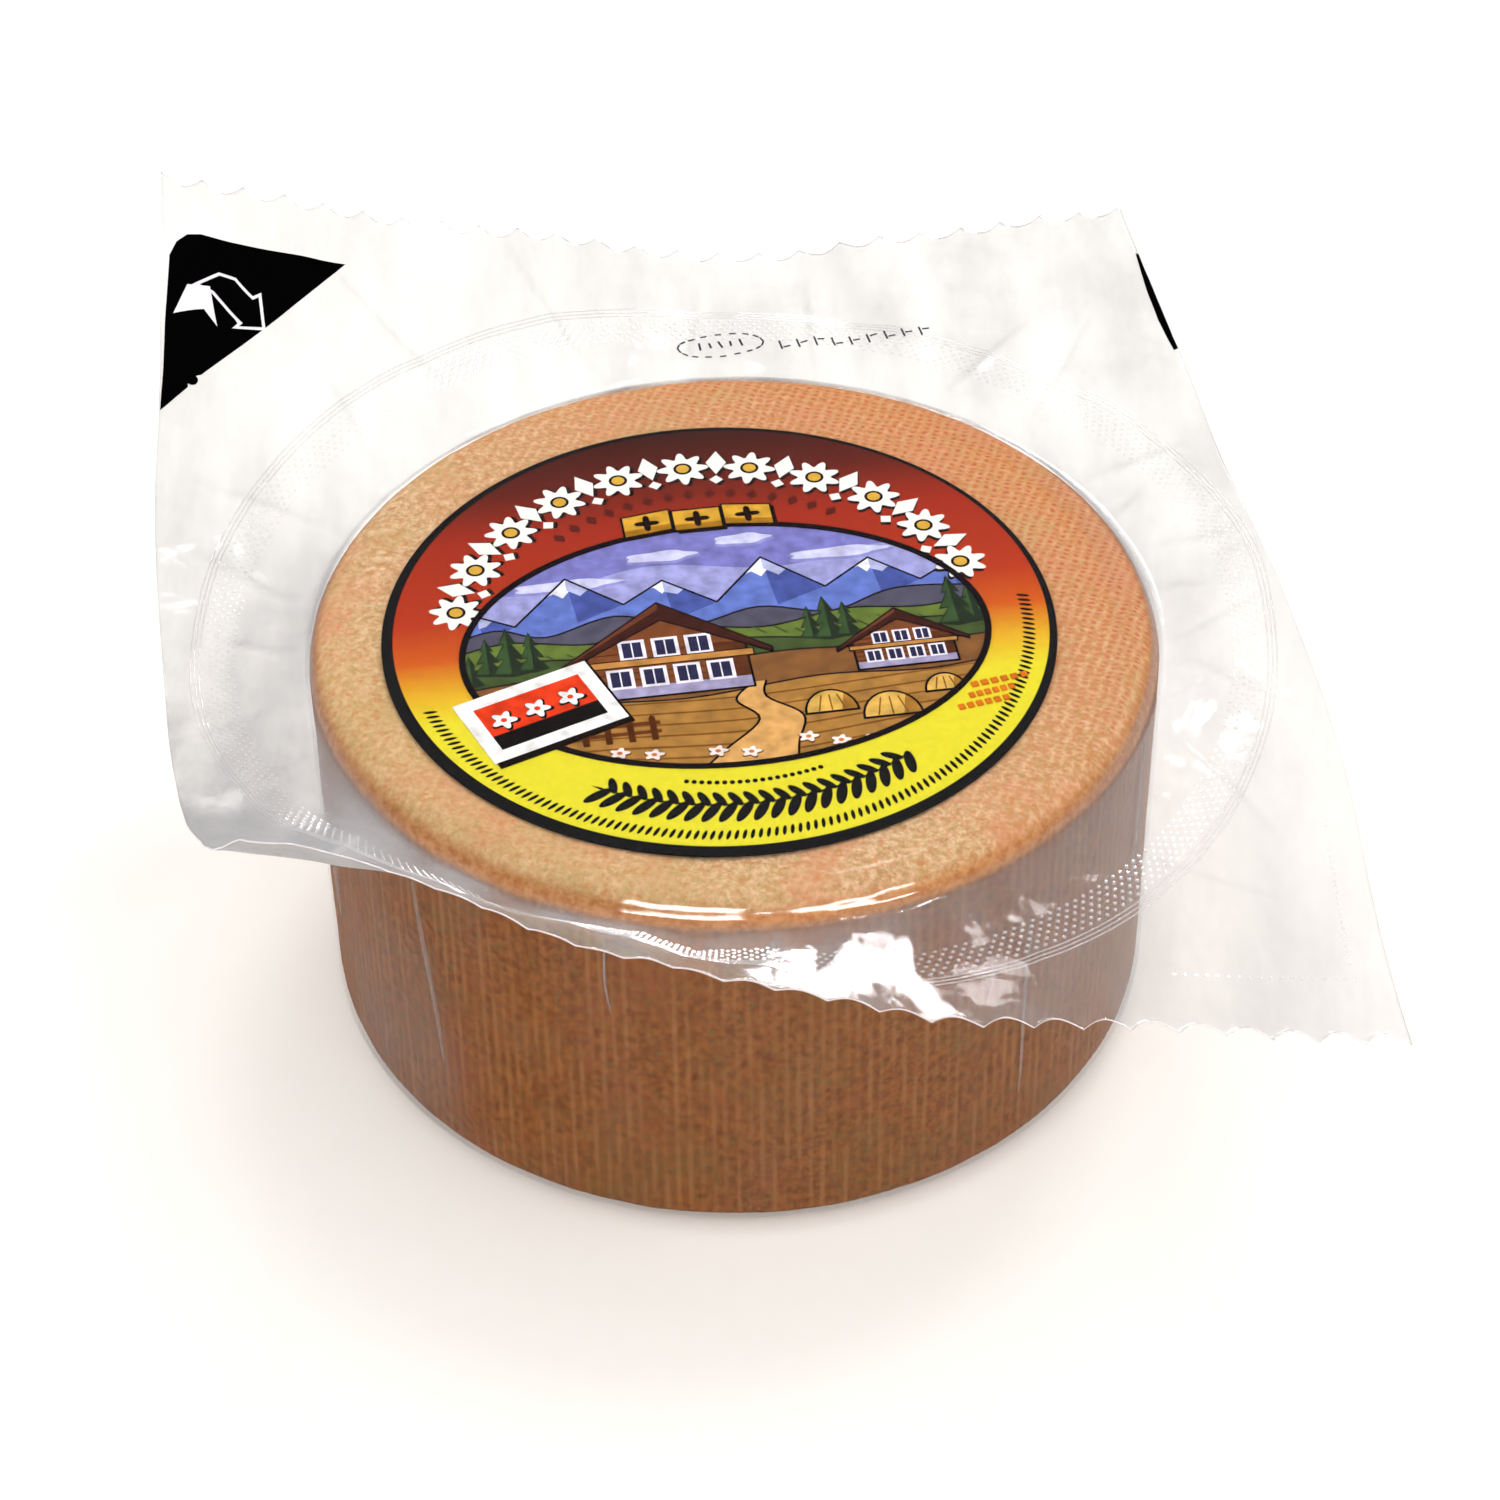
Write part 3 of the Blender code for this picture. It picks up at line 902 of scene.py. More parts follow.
# The head's garland: white rosettes with gold eyes, and pairs of lozenges between them, each
# with a dark shadow to its lower right.
HEAD_RADIUS = 36.9
HEAD_START = 14
HEAD_END = 166
ROSETTES = 11
ROSETTE = (3.1, 3.1, 64, 8, 0.24)
SHADOW = (0.45, -0.45)
half_step = (HEAD_END - HEAD_START) / (ROSETTES - 1) / 2
rosette_row = (HEAD_RADIUS, HEAD_START, HEAD_END, ROSETTES)
between_row = (HEAD_RADIUS, HEAD_START + half_step, HEAD_END - half_step, ROSETTES - 1)
ornament_row("rosette_shadows", ring_of(*SHADOW, *ROSETTE), shadow_ink, *rosette_row)
ornament_row("rosettes", ring_of(0, 0, *ROSETTE), white_ink, *rosette_row, layer=1)
ornament_row("rosette_rings", ring_of(0, 0, 1.35, 1.35, 24), shadow_ink, *rosette_row, layer=2)
ornament_row("rosette_eyes", ring_of(0, 0, 0.95, 0.95, 16), gold_ink, *rosette_row, layer=3)
for name, y, width, height in (("tall", 1.1, 3.0, 5.6), ("short", -3.0, 2.0, 2.0)):
    shadow = lozenge(width, height, SHADOW[0], y + SHADOW[1])
    ornament_row(name + "_lozenge_shadows", shadow, shadow_ink, *between_row)
    ornament_row(name + "_lozenges", lozenge(width, height, 0, y), white_ink, *between_row, layer=1)
ornament_row("under_title_marks", lozenge(1.7, 2.5), dark_red_ink, 30.6, 50, 130, 15)

# The foot's ornament: a black branch, a finer line of leaves and a border of short strokes
FOOT_RADIUS = 37.6
for name, outline, *row in (
    ("foot_upper_leaves", leaf(4.0, 1.7, 0.5, 0, 0.8), FOOT_RADIUS, 237, 303, 21),
    ("foot_lower_leaves", leaf(2.8, 1.4, -0.5, 0, -1.7), FOOT_RADIUS, 238.6, 301.4, 20),
    ("foot_stem", lozenge(2.6, 0.42, 0, -0.6), FOOT_RADIUS, 236.5, 303.5, 44),
    ("border_strokes", leaf(1.8, 0.55, 0.25), 42.9, 196, 360, 118),
    ("inner_dots", leaf(0.8, 0.7, 0.0), 32.6, 254, 286, 19),
):
    ornament_row(name, outline, black_ink, *row)

# The pocket film
# Clear film, deep-drawn in a round mould and pulled tight onto the cheese by vacuum. A few
# pleats were left down its side where the film had more width than the drum.
pocket_low, pocket_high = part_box("pocket_film")
POCKET_RADIUS = pocket_high.x
POCKET_RIM = pocket_high.z
FILM = 0.0002
POCKET_COLUMNS = 432
FILM_WAVE_SIZE = 0.004
FILM_CLOUD_SIZE = 0.011
HAZE_WHITENESS = 0.42
DULLING = 4.0
RIM_SHARP_FROM = math.radians(50)
POCKET_SIDE_RINGS = 18
POCKET_BASE_RINGS = 4
POCKET_BEND_RINGS = 6


# Clear packing film, cast and glossy. It shows what is behind it under a faint grey haze, which
# thickens towards a grazing view, and it mirrors the lights. Where it clings to the moist food
# its inner face has no air behind it, so it mirrors less and lies smooth. The free attribute
# says how loose it is, from 0 where it clings to 1 where it hangs in the air, and the second
# attribute says how much it is clouded and dulled: handling dulls it, and on the lid's flange
# the extra haze is painted shade. Haze and mirror are pairs of values, for where it clings and
# where it hangs. The haze gives back only its whiteness of the light that it takes, and the
# mirrored light all of it.
def clear_film(name, haze, mirror, grazing_mirror, waviness, whiteness=HAZE_WHITENESS):
    material, add = new_material(name)
    place = add("ShaderNodeTexCoord").outputs["Object"]
    free = add("ShaderNodeAttribute", attribute_name="free").outputs["Fac"]
    clouding_and_dulling = add("ShaderNodeAttribute", attribute_name="clouding_and_dulling").outputs["Fac"]
    facing = add("ShaderNodeLayerWeight", {"Blend": 0.5}).outputs["Facing"]
    thin_haze, least_shine, most_shine, slack = (
        add("ShaderNodeMapRange", {"Value": free, 3: clinging, 4: hanging})
        for clinging, hanging in (haze, mirror, grazing_mirror, (0.15 * waviness, waviness))
    )
    steep = add("ShaderNodeMath", {0: facing, 1: 5.0}, operation="POWER")
    clean_shine = add("ShaderNodeMapRange", {"Value": steep, 3: least_shine, 4: most_shine})
    dulling = add("ShaderNodeMath", {0: clouding_and_dulling, 1: DULLING, 2: 1.0}, operation="MULTIPLY_ADD")
    shine = add("ShaderNodeMath", {0: clean_shine, 1: dulling}, operation="DIVIDE")

    drawn_out = add("ShaderNodeMapping", {"Vector": place, "Scale": (1, 0.35, 0.35)})
    cloud_scale = 1 / FILM_CLOUD_SIZE
    clouds = add("ShaderNodeTexNoise", {"Vector": drawn_out, "Scale": cloud_scale, "Detail": 4})
    cloudy = add("ShaderNodeMapRange", {"Value": clouds, 1: 0.32, 2: 0.68, 3: 0.55, 4: 1.45})
    worn = {0: clouding_and_dulling, 1: thin_haze, 2: thin_haze}
    clouded_haze = add("ShaderNodeMath", worn, operation="MULTIPLY_ADD")
    flat_haze = add("ShaderNodeMath", {0: clouded_haze, 1: cloudy}, operation="MULTIPLY")
    cosine = add("ShaderNodeMath", {0: 1.0, 1: facing}, operation="SUBTRACT")
    through = add("ShaderNodeMath", {0: cosine, 1: 0.3}, operation="MAXIMUM")
    seen_haze = add("ShaderNodeMath", {0: flat_haze, 1: through}, operation="DIVIDE")
    given_back = add("ShaderNodeMath", {0: seen_haze, 1: whiteness}, operation="MULTIPLY")

    bright = add("ShaderNodeMath", {0: given_back, 1: shine}, operation="ADD")
    cover = add("ShaderNodeMath", {0: seen_haze, 1: shine}, operation="ADD", use_clamp=True)
    bright_share, mirror_share = (
        add("ShaderNodeMath", {0: part, 1: whole}, operation="DIVIDE", use_clamp=True)
        for part, whole in ((bright, cover), (shine, bright))
    )
    wave_scale = 1 / FILM_WAVE_SIZE
    waves = add("ShaderNodeTexNoise", {"Vector": place, "Scale": wave_scale, "Detail": 2})
    bump = add("ShaderNodeBump", {"Height": waves, "Strength": slack, "Distance": 0.0006})
    film = add(
        "ShaderNodeBsdfPrincipled",
        {
            "Base Color": layered(add, "#000000", (bright_share, "#fbf8f9")),
            "Metallic": mirror_share,
            "Alpha": cover,
            "Roughness": 0.1,
            "IOR": 1.5,
            "Specular IOR Level": 0.0,
            "Normal": bump,
        },
    )
    add("ShaderNodeOutputMaterial", {"Surface": film})
    return material


def sector(turns, direction, spread):
    """How deep each direction lies in a sector with soft sides: 1 on its middle line."""
    off = np.degrees(np.angle(np.exp(1j * (turns - math.radians(direction)))))
    return np.exp(-((off / spread) ** 2))


deep_drawn_film = clear_film("deep_drawn_film", (0.008, 0.03), (0.008, 0.03), (0.2, 0.6), 0.8)
pocket_bend = (POCKET_RADIUS - BASE_EDGE_RADIUS, BASE_EDGE_RADIUS)
inner_radius = POCKET_RADIUS - FILM
profile = [(0, 0)]
profile += between((0, 0), (pocket_bend[0], 0), POCKET_BASE_RINGS)
profile += arc(*pocket_bend, BASE_EDGE_RADIUS, -90, 0, POCKET_BEND_RINGS)
outer_side = ((POCKET_RADIUS, BASE_EDGE_RADIUS), (POCKET_RADIUS, POCKET_RIM))
inner_side = ((inner_radius, POCKET_RIM), (inner_radius, BASE_EDGE_RADIUS))
profile += between(*outer_side, POCKET_SIDE_RINGS)
profile += [(POCKET_RADIUS, POCKET_RIM), (inner_radius, POCKET_RIM)]
profile += between(*inner_side, POCKET_SIDE_RINGS)
profile += arc(*pocket_bend, BASE_EDGE_RADIUS - FILM, 0, -90, POCKET_BEND_RINGS)
profile += between((pocket_bend[0], FILM), (0, FILM), POCKET_BASE_RINGS)
profile += [(0, FILM)]
pocket = turned("pocket_skin", profile, POCKET_COLUMNS)
point_attribute(pocket, "free", np.zeros(len(pocket.data.vertices)))

# Where handling has clouded the pocket: a direction and a spread in degrees, and how much
POCKET_HANDLING = (218, 22, 3.0)
pocket_turns = np.array([math.atan2(v.co.y, v.co.x) for v in pocket.data.vertices])
clouded = POCKET_HANDLING[2] * sector(pocket_turns, *POCKET_HANDLING[:2])
point_attribute(pocket, "clouding_and_dulling", clouded)
pocket.data.set_sharp_from_angle(angle=RIM_SHARP_FROM)
pocket.data.materials.append(deep_drawn_film)
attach(pocket, "root")
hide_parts("pocket_film")

# Pleats: where each starts and ends, as (azimuth in degrees, height in mm), and how proud it
# stands in mm. Each is a slender blade of doubled film that tapers out at both ends.
PLEATS = (
    ((224.0, 53.0), (227.0, 16.0), 0.55),
    ((252.6, 56.0), (253.8, 40.0), 0.45),
    ((199.0, 55.0), (200.6, 24.0), 0.50),
    ((311.0, 44.0), (309.6, 12.0), 0.40),
    ((338.0, 56.0), (335.5, 26.0), 0.50),
    ((18.0, 56.0), (20.0, 22.0), 0.50),
    ((62.0, 55.0), (60.0, 30.0), 0.45),
    ((104.0, 56.0), (106.0, 18.0), 0.50),
    ((148.0, 55.0), (146.5, 28.0), 0.45),
)
PLEAT_STEPS = 16
PLEAT_WIDTH = 0.00045
PLEAT_SUNK = 0.00008
PLEAT_TIP = 0.04
PLEAT_WANDER = 0.006
points = []
faces = []
for (top_turn, top_height), (low_turn, low_height), proud in PLEATS:
    first = len(points)
    for step in range(PLEAT_STEPS + 1):
        share = step / PLEAT_STEPS
        taper = PLEAT_TIP + (1 - PLEAT_TIP) * math.sin(math.pi * share) ** 0.6
        turn = math.radians(top_turn + (low_turn - top_turn) * share)
        turn += PLEAT_WANDER * math.sin(5 * share + top_turn)
        height = 0.001 * (top_height + (low_height - top_height) * share)
        half = PLEAT_WIDTH / 2 / POCKET_RADIUS * taper
        sunk_radius = POCKET_RADIUS - PLEAT_SUNK
        crest_radius = POCKET_RADIUS + 0.001 * proud * taper
        blade = ((sunk_radius, turn - half), (crest_radius, turn), (sunk_radius, turn + half))
        for radius, at in blade:
            points.append((radius * math.cos(at), radius * math.sin(at), height))
    for step in range(PLEAT_STEPS):
        ring = first + 3 * step
        for k in range(3):
            after = (k + 1) % 3
            faces.append((ring + k, ring + 3 + k, ring + 3 + after, ring + after))
    faces.append((first, first + 1, first + 2))
    last = first + 3 * PLEAT_STEPS
    faces.append((last, last + 2, last + 1))
pleats = mesh_object("pocket_pleats", points, faces)
pleated_film = clear_film("pleated_film", (0.08, 0.08), (0.05, 0.05), (0.4, 0.4), 0.0)
pleats.data.materials.append(pleated_film)
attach(pleats, "root")

# The lid film
# A flat sheet of clear film, sealed down over the filled pocket and then cut: straight down its
# long sides, and by a zigzag knife across its ends. Handling has bent and creased its flange.
LID_HEIGHT = 0.0620
LABEL_MARGIN = 0.0006
SHEET_WIDTH = 0.1560
SHEET_LENGTH = 0.1704
SHEET_PLACE = (-0.0013, 0.0031)
SHEET_TURN = math.radians(8.6)
TOOTH_COUNT = 24
TOOTH_DEPTH = 0.0018
FLANGE_RADIUS = 0.0610
FLANGE_HEIGHT = 0.0580
EDGE_SLOPES = (20, 10, 7, 10, 36, 32, 5, 20, 47, 30, -7, -15)
SLOPE_AT_DRUM = 0.9
LID_LEAVES_AT = 30
RIPPLE_COUNT = 11
RIPPLE_HEIGHT = 0.0006
LEAST_BEND = 1e-6
FILM_OVER_RIND = 0.0006
OVER_EDGE_RADIUS = TOP_EDGE_RADIUS + FILM_OVER_RIND
RIND_LID_HEIGHT = cheese_high.z + FILM_OVER_RIND

TOOTH_STEPS = 7
SIDE_STEPS = 168
FLANGE_RINGS = 42
TURN_RINGS = 6
OVER_EDGE_RINGS = 9
TURN_END = 0.0036

# Creases: where each starts and ends, as (azimuth in degrees, flat distance in mm), then how
# wide it is and how high it stands, in mm.
CREASES = (
    ((33, 62), (30, 78), 1.3, 0.45),
    ((352, 62), (346, 80), 1.2, 0.5),
    ((357, 63), (2, 76), 1.0, -0.3),
    ((340, 63), (331, 84), 1.4, -0.4),
    ((184, 62), (181, 73), 1.1, 0.45),
    ((173, 62), (169, 79), 1.5, 0.5),
    ((192, 63), (199, 80), 1.3, -0.15),
    ((205, 64), (212, 88), 1.6, 0.15),
    ((262, 62), (258, 80), 1.2, 0.4),
    ((268, 63), (263, 82), 1.0, -0.35),
    ((275, 62), (272, 80), 1.3, 0.45),
    ((283, 64), (277, 78), 0.9, 0.4),
    ((291, 63), (287, 76), 0.8, -0.3),
    ((304, 63), (299, 84), 1.3, 0.35),
    ((318, 66), (326, 88), 1.4, -0.3),
    ((16, 63), (12, 77), 1.2, 0.35),
    ((9, 61), (5, 68), 0.8, 0.25),
    ((24, 61), (28, 69), 0.8, -0.25),
    ((345, 61), (349, 67), 0.7, 0.25),
    ((47, 64), (52, 92), 1.8, -0.4),
    ((60, 63), (57, 86), 1.5, 0.4),
    ((78, 62), (82, 86), 1.6, 0.45),
    ((96, 63), (93, 84), 1.4, -0.35),
    ((108, 62), (114, 90), 1.7, 0.4),
    ((127, 66), (133, 96), 1.8, -0.45),
    ((146, 63), (140, 84), 1.6, 0.4),
    ((158, 64), (161, 84), 1.4, 0.35),
    ((222, 66), (232, 92), 1.6, 0.35),
    ((243, 64), (240, 84), 1.3, -0.3),
)
CREASE_ROUNDING = 0.1
RELIEF_STARTS_IN = 0.004
WAVE_COUNT = 10
LONGEST_WAVE = 0.038
SHORTEST_WAVE = 0.012
LONGEST_WAVE_HEIGHT = 0.00024
FOLD_COUNT = 12
LONGEST_FOLD = 0.017
SHORTEST_FOLD = 0.0055
FOLD_STEEPNESS = 0.006
FOLD_BEND = 0.0024
FOLD_BEND_LENGTH = 0.031
FOLD_PATCHES = (0.041, 0.027)

# The front right corner was pulled flat: where, in degrees, and how much relief it lost
FLAT_CORNER = (314, 27, 0.75)
FLAT_CORNER_FROM = (0.070, 0.074)


def eased(t, start, start_way, end, end_way):
    """A smooth run from one value to another that leaves and arrives at given rates."""
    return (
        (2 * t**3 - 3 * t**2 + 1) * start
        + (t**3 - 2 * t**2 + t) * start_way
        + (3 * t**2 - 2 * t**3) * end
        + (t**3 - t**2) * end_way
    )


def edge_slopes(azimuth):
    """The slope of the sheet's outer edge in a direction: a smooth curve through EDGE_SLOPES."""
    slopes = np.array(EDGE_SLOPES, float)
    count = len(slopes)
    place = azimuth / (2 * math.pi) * count
    i = np.floor(place).astype(int)
    before, here, there, after = (slopes[(i + k) % count] for k in (-1, 0, 1, 2))
    return np.radians(eased(place - i, here, (there - before) / 2, there, (after - here) / 2))


def sheet_reach(azimuth):
    """How far the uncut edge of the flat sheet is from the drum's axis, in a direction."""
    across = np.cos(azimuth - SHEET_TURN)
    along = np.sin(azimuth - SHEET_TURN)
    to_side = (SHEET_WIDTH / 2 + np.sign(across) * SHEET_PLACE[0]) / np.maximum(abs(across), 1e-9)
    to_end = (SHEET_LENGTH / 2 + np.sign(along) * SHEET_PLACE[1]) / np.maximum(abs(along), 1e-9)
    return np.minimum(to_side, to_end)


def smooth_step(value, start, end):
    """How far a value lies between two limits, from 0 to 1, with soft ends."""
    share = np.clip((value - start) / (end - start), 0, 1)
    return share * share * (3 - 2 * share)


relief_dice = np.random.default_rng(5)
wave_lengths = np.geomspace(LONGEST_WAVE, SHORTEST_WAVE, WAVE_COUNT)
wave_turns = relief_dice.uniform(0, 2 * math.pi, WAVE_COUNT)
wave_starts = relief_dice.uniform(0, 2 * math.pi, WAVE_COUNT)
fold_lengths = np.geomspace(LONGEST_FOLD, SHORTEST_FOLD, FOLD_COUNT)
fold_turns = relief_dice.uniform(0, 2 * math.pi, FOLD_COUNT)
fold_starts = relief_dice.uniform(0, 1, FOLD_COUNT)
patch_turns = relief_dice.uniform(0, 2 * math.pi, (2, FOLD_COUNT))
patch_starts = relief_dice.uniform(0, 2 * math.pi, (2, FOLD_COUNT))


def crumples(x, y):
    """Sharp little folds in patches, as handled film keeps them."""
    height = np.zeros_like(x)
    for k, length in enumerate(fold_lengths):
        bend = FOLD_BEND * np.sin(2 * math.pi * (x + y) / FOLD_BEND_LENGTH + 2.1 * k)
        turn = fold_turns[k]
        along = ((x + bend) * math.cos(turn) + (y - bend) * math.sin(turn)) / length
        along += fold_starts[k]
        fold = 1 - 2 * abs(2 * (along - np.floor(along)) - 1)
        patch = np.ones_like(x)
        for patch_turn, start, size in zip(patch_turns[:, k], patch_starts[:, k], FOLD_PATCHES):
            across = x * math.cos(patch_turn) + y * math.sin(patch_turn)
            patch *= np.clip(0.45 + np.sin(2 * math.pi * across / size + start), 0, 1)
        height += FOLD_STEEPNESS * length * patch * fold
    return height


def by_crease(crease, x, y):
    """How far along a crease a place on the flat sheet is, from 0 to 1, and how far off it."""
    turns = np.radians([turn for turn, reach in crease[:2]])
    reaches = np.array([0.001 * reach for turn, reach in crease[:2]])
    ends = np.stack([reaches * np.cos(turns), reaches * np.sin(turns)], -1)
    run = ends[1] - ends[0]
    share = np.clip(((x - ends[0][0]) * run[0] + (y - ends[0][1]) * run[1]) / (run @ run), 0, 1)
    off = np.hypot(x - ends[0][0] - share * run[0], y - ends[0][1] - share * run[1])
    return share, off


def film_relief(x, y):
    """How far the loose film stands off its smooth form, at a place on the flat sheet."""
    height = crumples(x, y)
    for length, turn, start in zip(wave_lengths, wave_turns, wave_starts):
        along = (x * math.cos(turn) + y * math.sin(turn)) / length
        wave_height = LONGEST_WAVE_HEIGHT * (length / LONGEST_WAVE) ** 1.6
        height += wave_height * np.sin(2 * math.pi * along + start)
    for crease in CREASES:
        share, off = by_crease(crease, x, y)
        width, rise = crease[2:]
        fade = np.sin(math.pi * (0.12 + 0.82 * share))
        beside = np.sqrt((off / (0.001 * width)) ** 2 + CREASE_ROUNDING)
        height += 0.001 * rise * fade * np.exp(0.3 - beside)
    reach = np.hypot(x, y)
    direction, spread, lost = FLAT_CORNER
    in_corner = sector(np.arctan2(y, x), direction, spread) * smooth_step(reach, *FLAT_CORNER_FROM)
    height *= 1 - lost * in_corner
    return height * smooth_step(reach, FLANGE_RADIUS, FLANGE_RADIUS + RELIEF_STARTS_IN)


def film_surface(x, y, lift=0.0):
    """Where the flange carries each point of the flat sheet, and the way its face looks."""
    azimuth = np.arctan2(y, x)
    strip = sheet_reach(azimuth) - FLANGE_RADIUS
    along = np.hypot(x, y) - FLANGE_RADIUS
    slope = edge_slopes(azimuth)
    start = slope * SLOPE_AT_DRUM
    bend = (slope - start) / strip
    bend = np.where(abs(bend) < LEAST_BEND, LEAST_BEND, bend)
    here = start + bend * along
    out = (np.sin(here) - np.sin(start)) / bend
    up = (np.cos(start) - np.cos(here)) / bend
    up += RIPPLE_HEIGHT * (along / strip) ** 2 * np.sin(RIPPLE_COUNT * azimuth)
    stand = film_relief(x, y) + lift
    radius = FLANGE_RADIUS + out - stand * np.sin(here)
    height = FLANGE_HEIGHT + up + stand * np.cos(here)
    points = np.stack([radius * np.cos(azimuth), radius * np.sin(azimuth), height], -1)
    tilt = -np.sin(here)
    facing = np.stack([tilt * np.cos(azimuth), tilt * np.sin(azimuth), np.cos(here)], -1)
    return points, facing


def on_sheet(across, along):
    """A place on the flat sheet, in the frame, from millimetres along the sheet's own axes."""
    x = 0.001 * (across * math.cos(SHEET_TURN) - along * math.sin(SHEET_TURN))
    y = 0.001 * (across * math.sin(SHEET_TURN) + along * math.cos(SHEET_TURN))
    return x, y


def cut_edge():
    """The sheet's cut edge, anticlockwise in the frame: cusps across the ends, straight sides."""
    left = SHEET_PLACE[0] - SHEET_WIDTH / 2
    right = left + SHEET_WIDTH
    front = SHEET_PLACE[1] - SHEET_LENGTH / 2
    back = front + SHEET_LENGTH
    steps = TOOTH_COUNT * TOOTH_STEPS
    notches = [TOOTH_DEPTH * abs(math.sin(math.pi * i / TOOTH_STEPS)) for i in range(steps)]
    edge = [(left + SHEET_WIDTH * i / steps, front + notch) for i, notch in enumerate(notches)]
    edge += [(right, front + SHEET_LENGTH * i / SIDE_STEPS) for i in range(SIDE_STEPS)]
    edge += [(right - SHEET_WIDTH * i / steps, back - notch) for i, notch in enumerate(notches)]
    edge += [(left, back - SHEET_LENGTH * i / SIDE_STEPS) for i in range(SIDE_STEPS)]
    return [on_sheet(1000 * across, 1000 * along) for across, along in edge]


edge = np.array(cut_edge())
column_turns = np.arctan2(edge[:, 1], edge[:, 0])
column_ways = np.stack([np.cos(column_turns), np.sin(column_turns)], -1)
columns = len(edge)


def level_ring(radius, height, centre):
    """One ring of the lid's points, level, round a centre."""
    spots = np.array(centre) + radius * column_ways
    return np.column_stack([spots, np.full(columns, height)])


# Over the label the lid lies level, and beside it the film sinks onto the rind. Each number is
# a ring's share of the way across.
OVER_LABEL = (0.5, 0.97)
BESIDE_LABEL = (0, 0.12, 0.25, 0.38, 0.5, 0.62, 0.75, 0.88)
rings = []
label_edge = LABEL_RADIUS + LABEL_MARGIN
label_middle = tuple(LABEL_PLACE[:2])
for share in OVER_LABEL:
    rings.append(level_ring(label_edge * share, LID_HEIGHT, label_middle))
drop = LID_HEIGHT - RIND_LID_HEIGHT
label_rim = np.array(label_middle) + label_edge * column_ways
edge_start = EDGE_CENTRE_RADIUS * column_ways
for share in BESIDE_LABEL:
    height = LID_HEIGHT - drop * (3 * share**2 - 2 * share**3)
    spots = label_rim + (edge_start - label_rim) * share
    rings.append(np.column_stack([spots, np.full(columns, height)]))

# Over the round edge the film is a little slack, which breaks up the glints on it
SLACK = 0.00004
SLACK_WAVES = (23, 41, 67)
edge_centre = (EDGE_CENTRE_RADIUS, EDGE_CENTRE_HEIGHT)
over_edge = arc(*edge_centre, OVER_EDGE_RADIUS, 90, LID_LEAVES_AT, OVER_EDGE_RINGS)
for i, (radius, height) in enumerate(over_edge):
    stand = sum(np.sin(w * column_turns + 0.3 * i * k) for k, w in enumerate(SLACK_WAVES))
    stand = SLACK * stand / len(SLACK_WAVES) * min(i, 3) / 3
    turn = math.radians(90 + (LID_LEAVES_AT - 90) * i / OVER_EDGE_RINGS)
    spots = (radius + stand * math.cos(turn))[:, None] * column_ways
    rings.append(np.column_stack([spots, height + stand * math.sin(turn)]))

# From the round edge the film swings out into the flange in one smooth bend
PULL = 0.0055
turn_end = (FLANGE_RADIUS + TURN_END) * column_ways
landing, landing_facing = film_surface(turn_end[:, 0], turn_end[:, 1])
leaving = rings[-1]
leave_turn = math.radians(LID_LEAVES_AT)
leave_way = np.column_stack(
    [math.sin(leave_turn) * column_ways, np.full(columns, -math.cos(leave_turn))]
)
land_way = np.column_stack(
    [landing_facing[:, 2:] * column_ways, -np.sum(landing_facing[:, :2] * column_ways, 1)]
)
for t in np.arange(1, TURN_RINGS) / TURN_RINGS:
    rings.append(eased(t, leaving, PULL * leave_way, landing, PULL * land_way))
flat_spots = [np.array([label_middle])] + [ring[:, :2] for ring in rings]
for i in range(FLANGE_RINGS + 1):
    spots = turn_end + (edge - turn_end) * i / FLANGE_RINGS
    flat_spots.append(spots)
    rings.append(film_surface(spots[:, 0], spots[:, 1])[0])

points = [(*label_middle, LID_HEIGHT)]
for ring in rings:
    points += ring.tolist()
faces = []
for i in range(columns):
    j = (i + 1) % columns
    faces.append((0, 1 + i, 1 + j))
    for ring in range(len(rings) - 1):
        inner = 1 + ring * columns
        outer = inner + columns
        faces.append((inner + i, outer + i, outer + j, inner + j))
lid = mesh_object("lid_sheet", points, faces)
flat_x, flat_y = np.concatenate(flat_spots).T
flat_distance = np.hypot(flat_x, flat_y)
flat_turn = np.arctan2(flat_y, flat_x)

# The film clings to the rim's front for longer, where the flange pulls it down, than to its back
CLINGS_TO = 0.0578
CLINGS_LONGER_IN_FRONT = 0.0014
LETS_GO_IN = 0.0014
clings_to = CLINGS_TO - CLINGS_LONGER_IN_FRONT * np.sin(flat_turn)
free = smooth_step(flat_distance, clings_to, clings_to + LETS_GO_IN)
point_attribute(lid, "free", free)

# Where the flange is clouded and dulled: a direction and a spread in degrees, and how much.
# Handling dulls its mirror; the extra haze it gets is painted shade, which greys the film, most
# at the front left. The creases cloud it too, in lines: stress whitening, with painted shade.
HANDLING_AND_PAINTED_SHADE = ((0, 50, 0.5), (90, 60, 0.7), (180, 28, 1.2), (224, 26, 2.2), (304, 20, 0.3))
CREASE_WHITENING_AND_SHADE = 2.0
CREASE_WHITENING_AND_SHADE_WIDTH = 0.0006
CLOUDS_IN = 0.003
clouding_and_dulling = np.zeros(len(points))
for direction, spread, amount in HANDLING_AND_PAINTED_SHADE:
    clouding_and_dulling += amount * sector(flat_turn, direction, spread)
# Each crease adds a line of haze: stress whitening, with painted shade along the fold
for crease in CREASES:
    share, off = by_crease(crease, flat_x, flat_y)
    wear = CREASE_WHITENING_AND_SHADE * abs(crease[3]) * np.sin(math.pi * share)
    clouding_and_dulling += wear * np.exp(-((off / CREASE_WHITENING_AND_SHADE_WIDTH) ** 2))
clouding_and_dulling *= smooth_step(flat_distance, clings_to, clings_to + CLOUDS_IN)

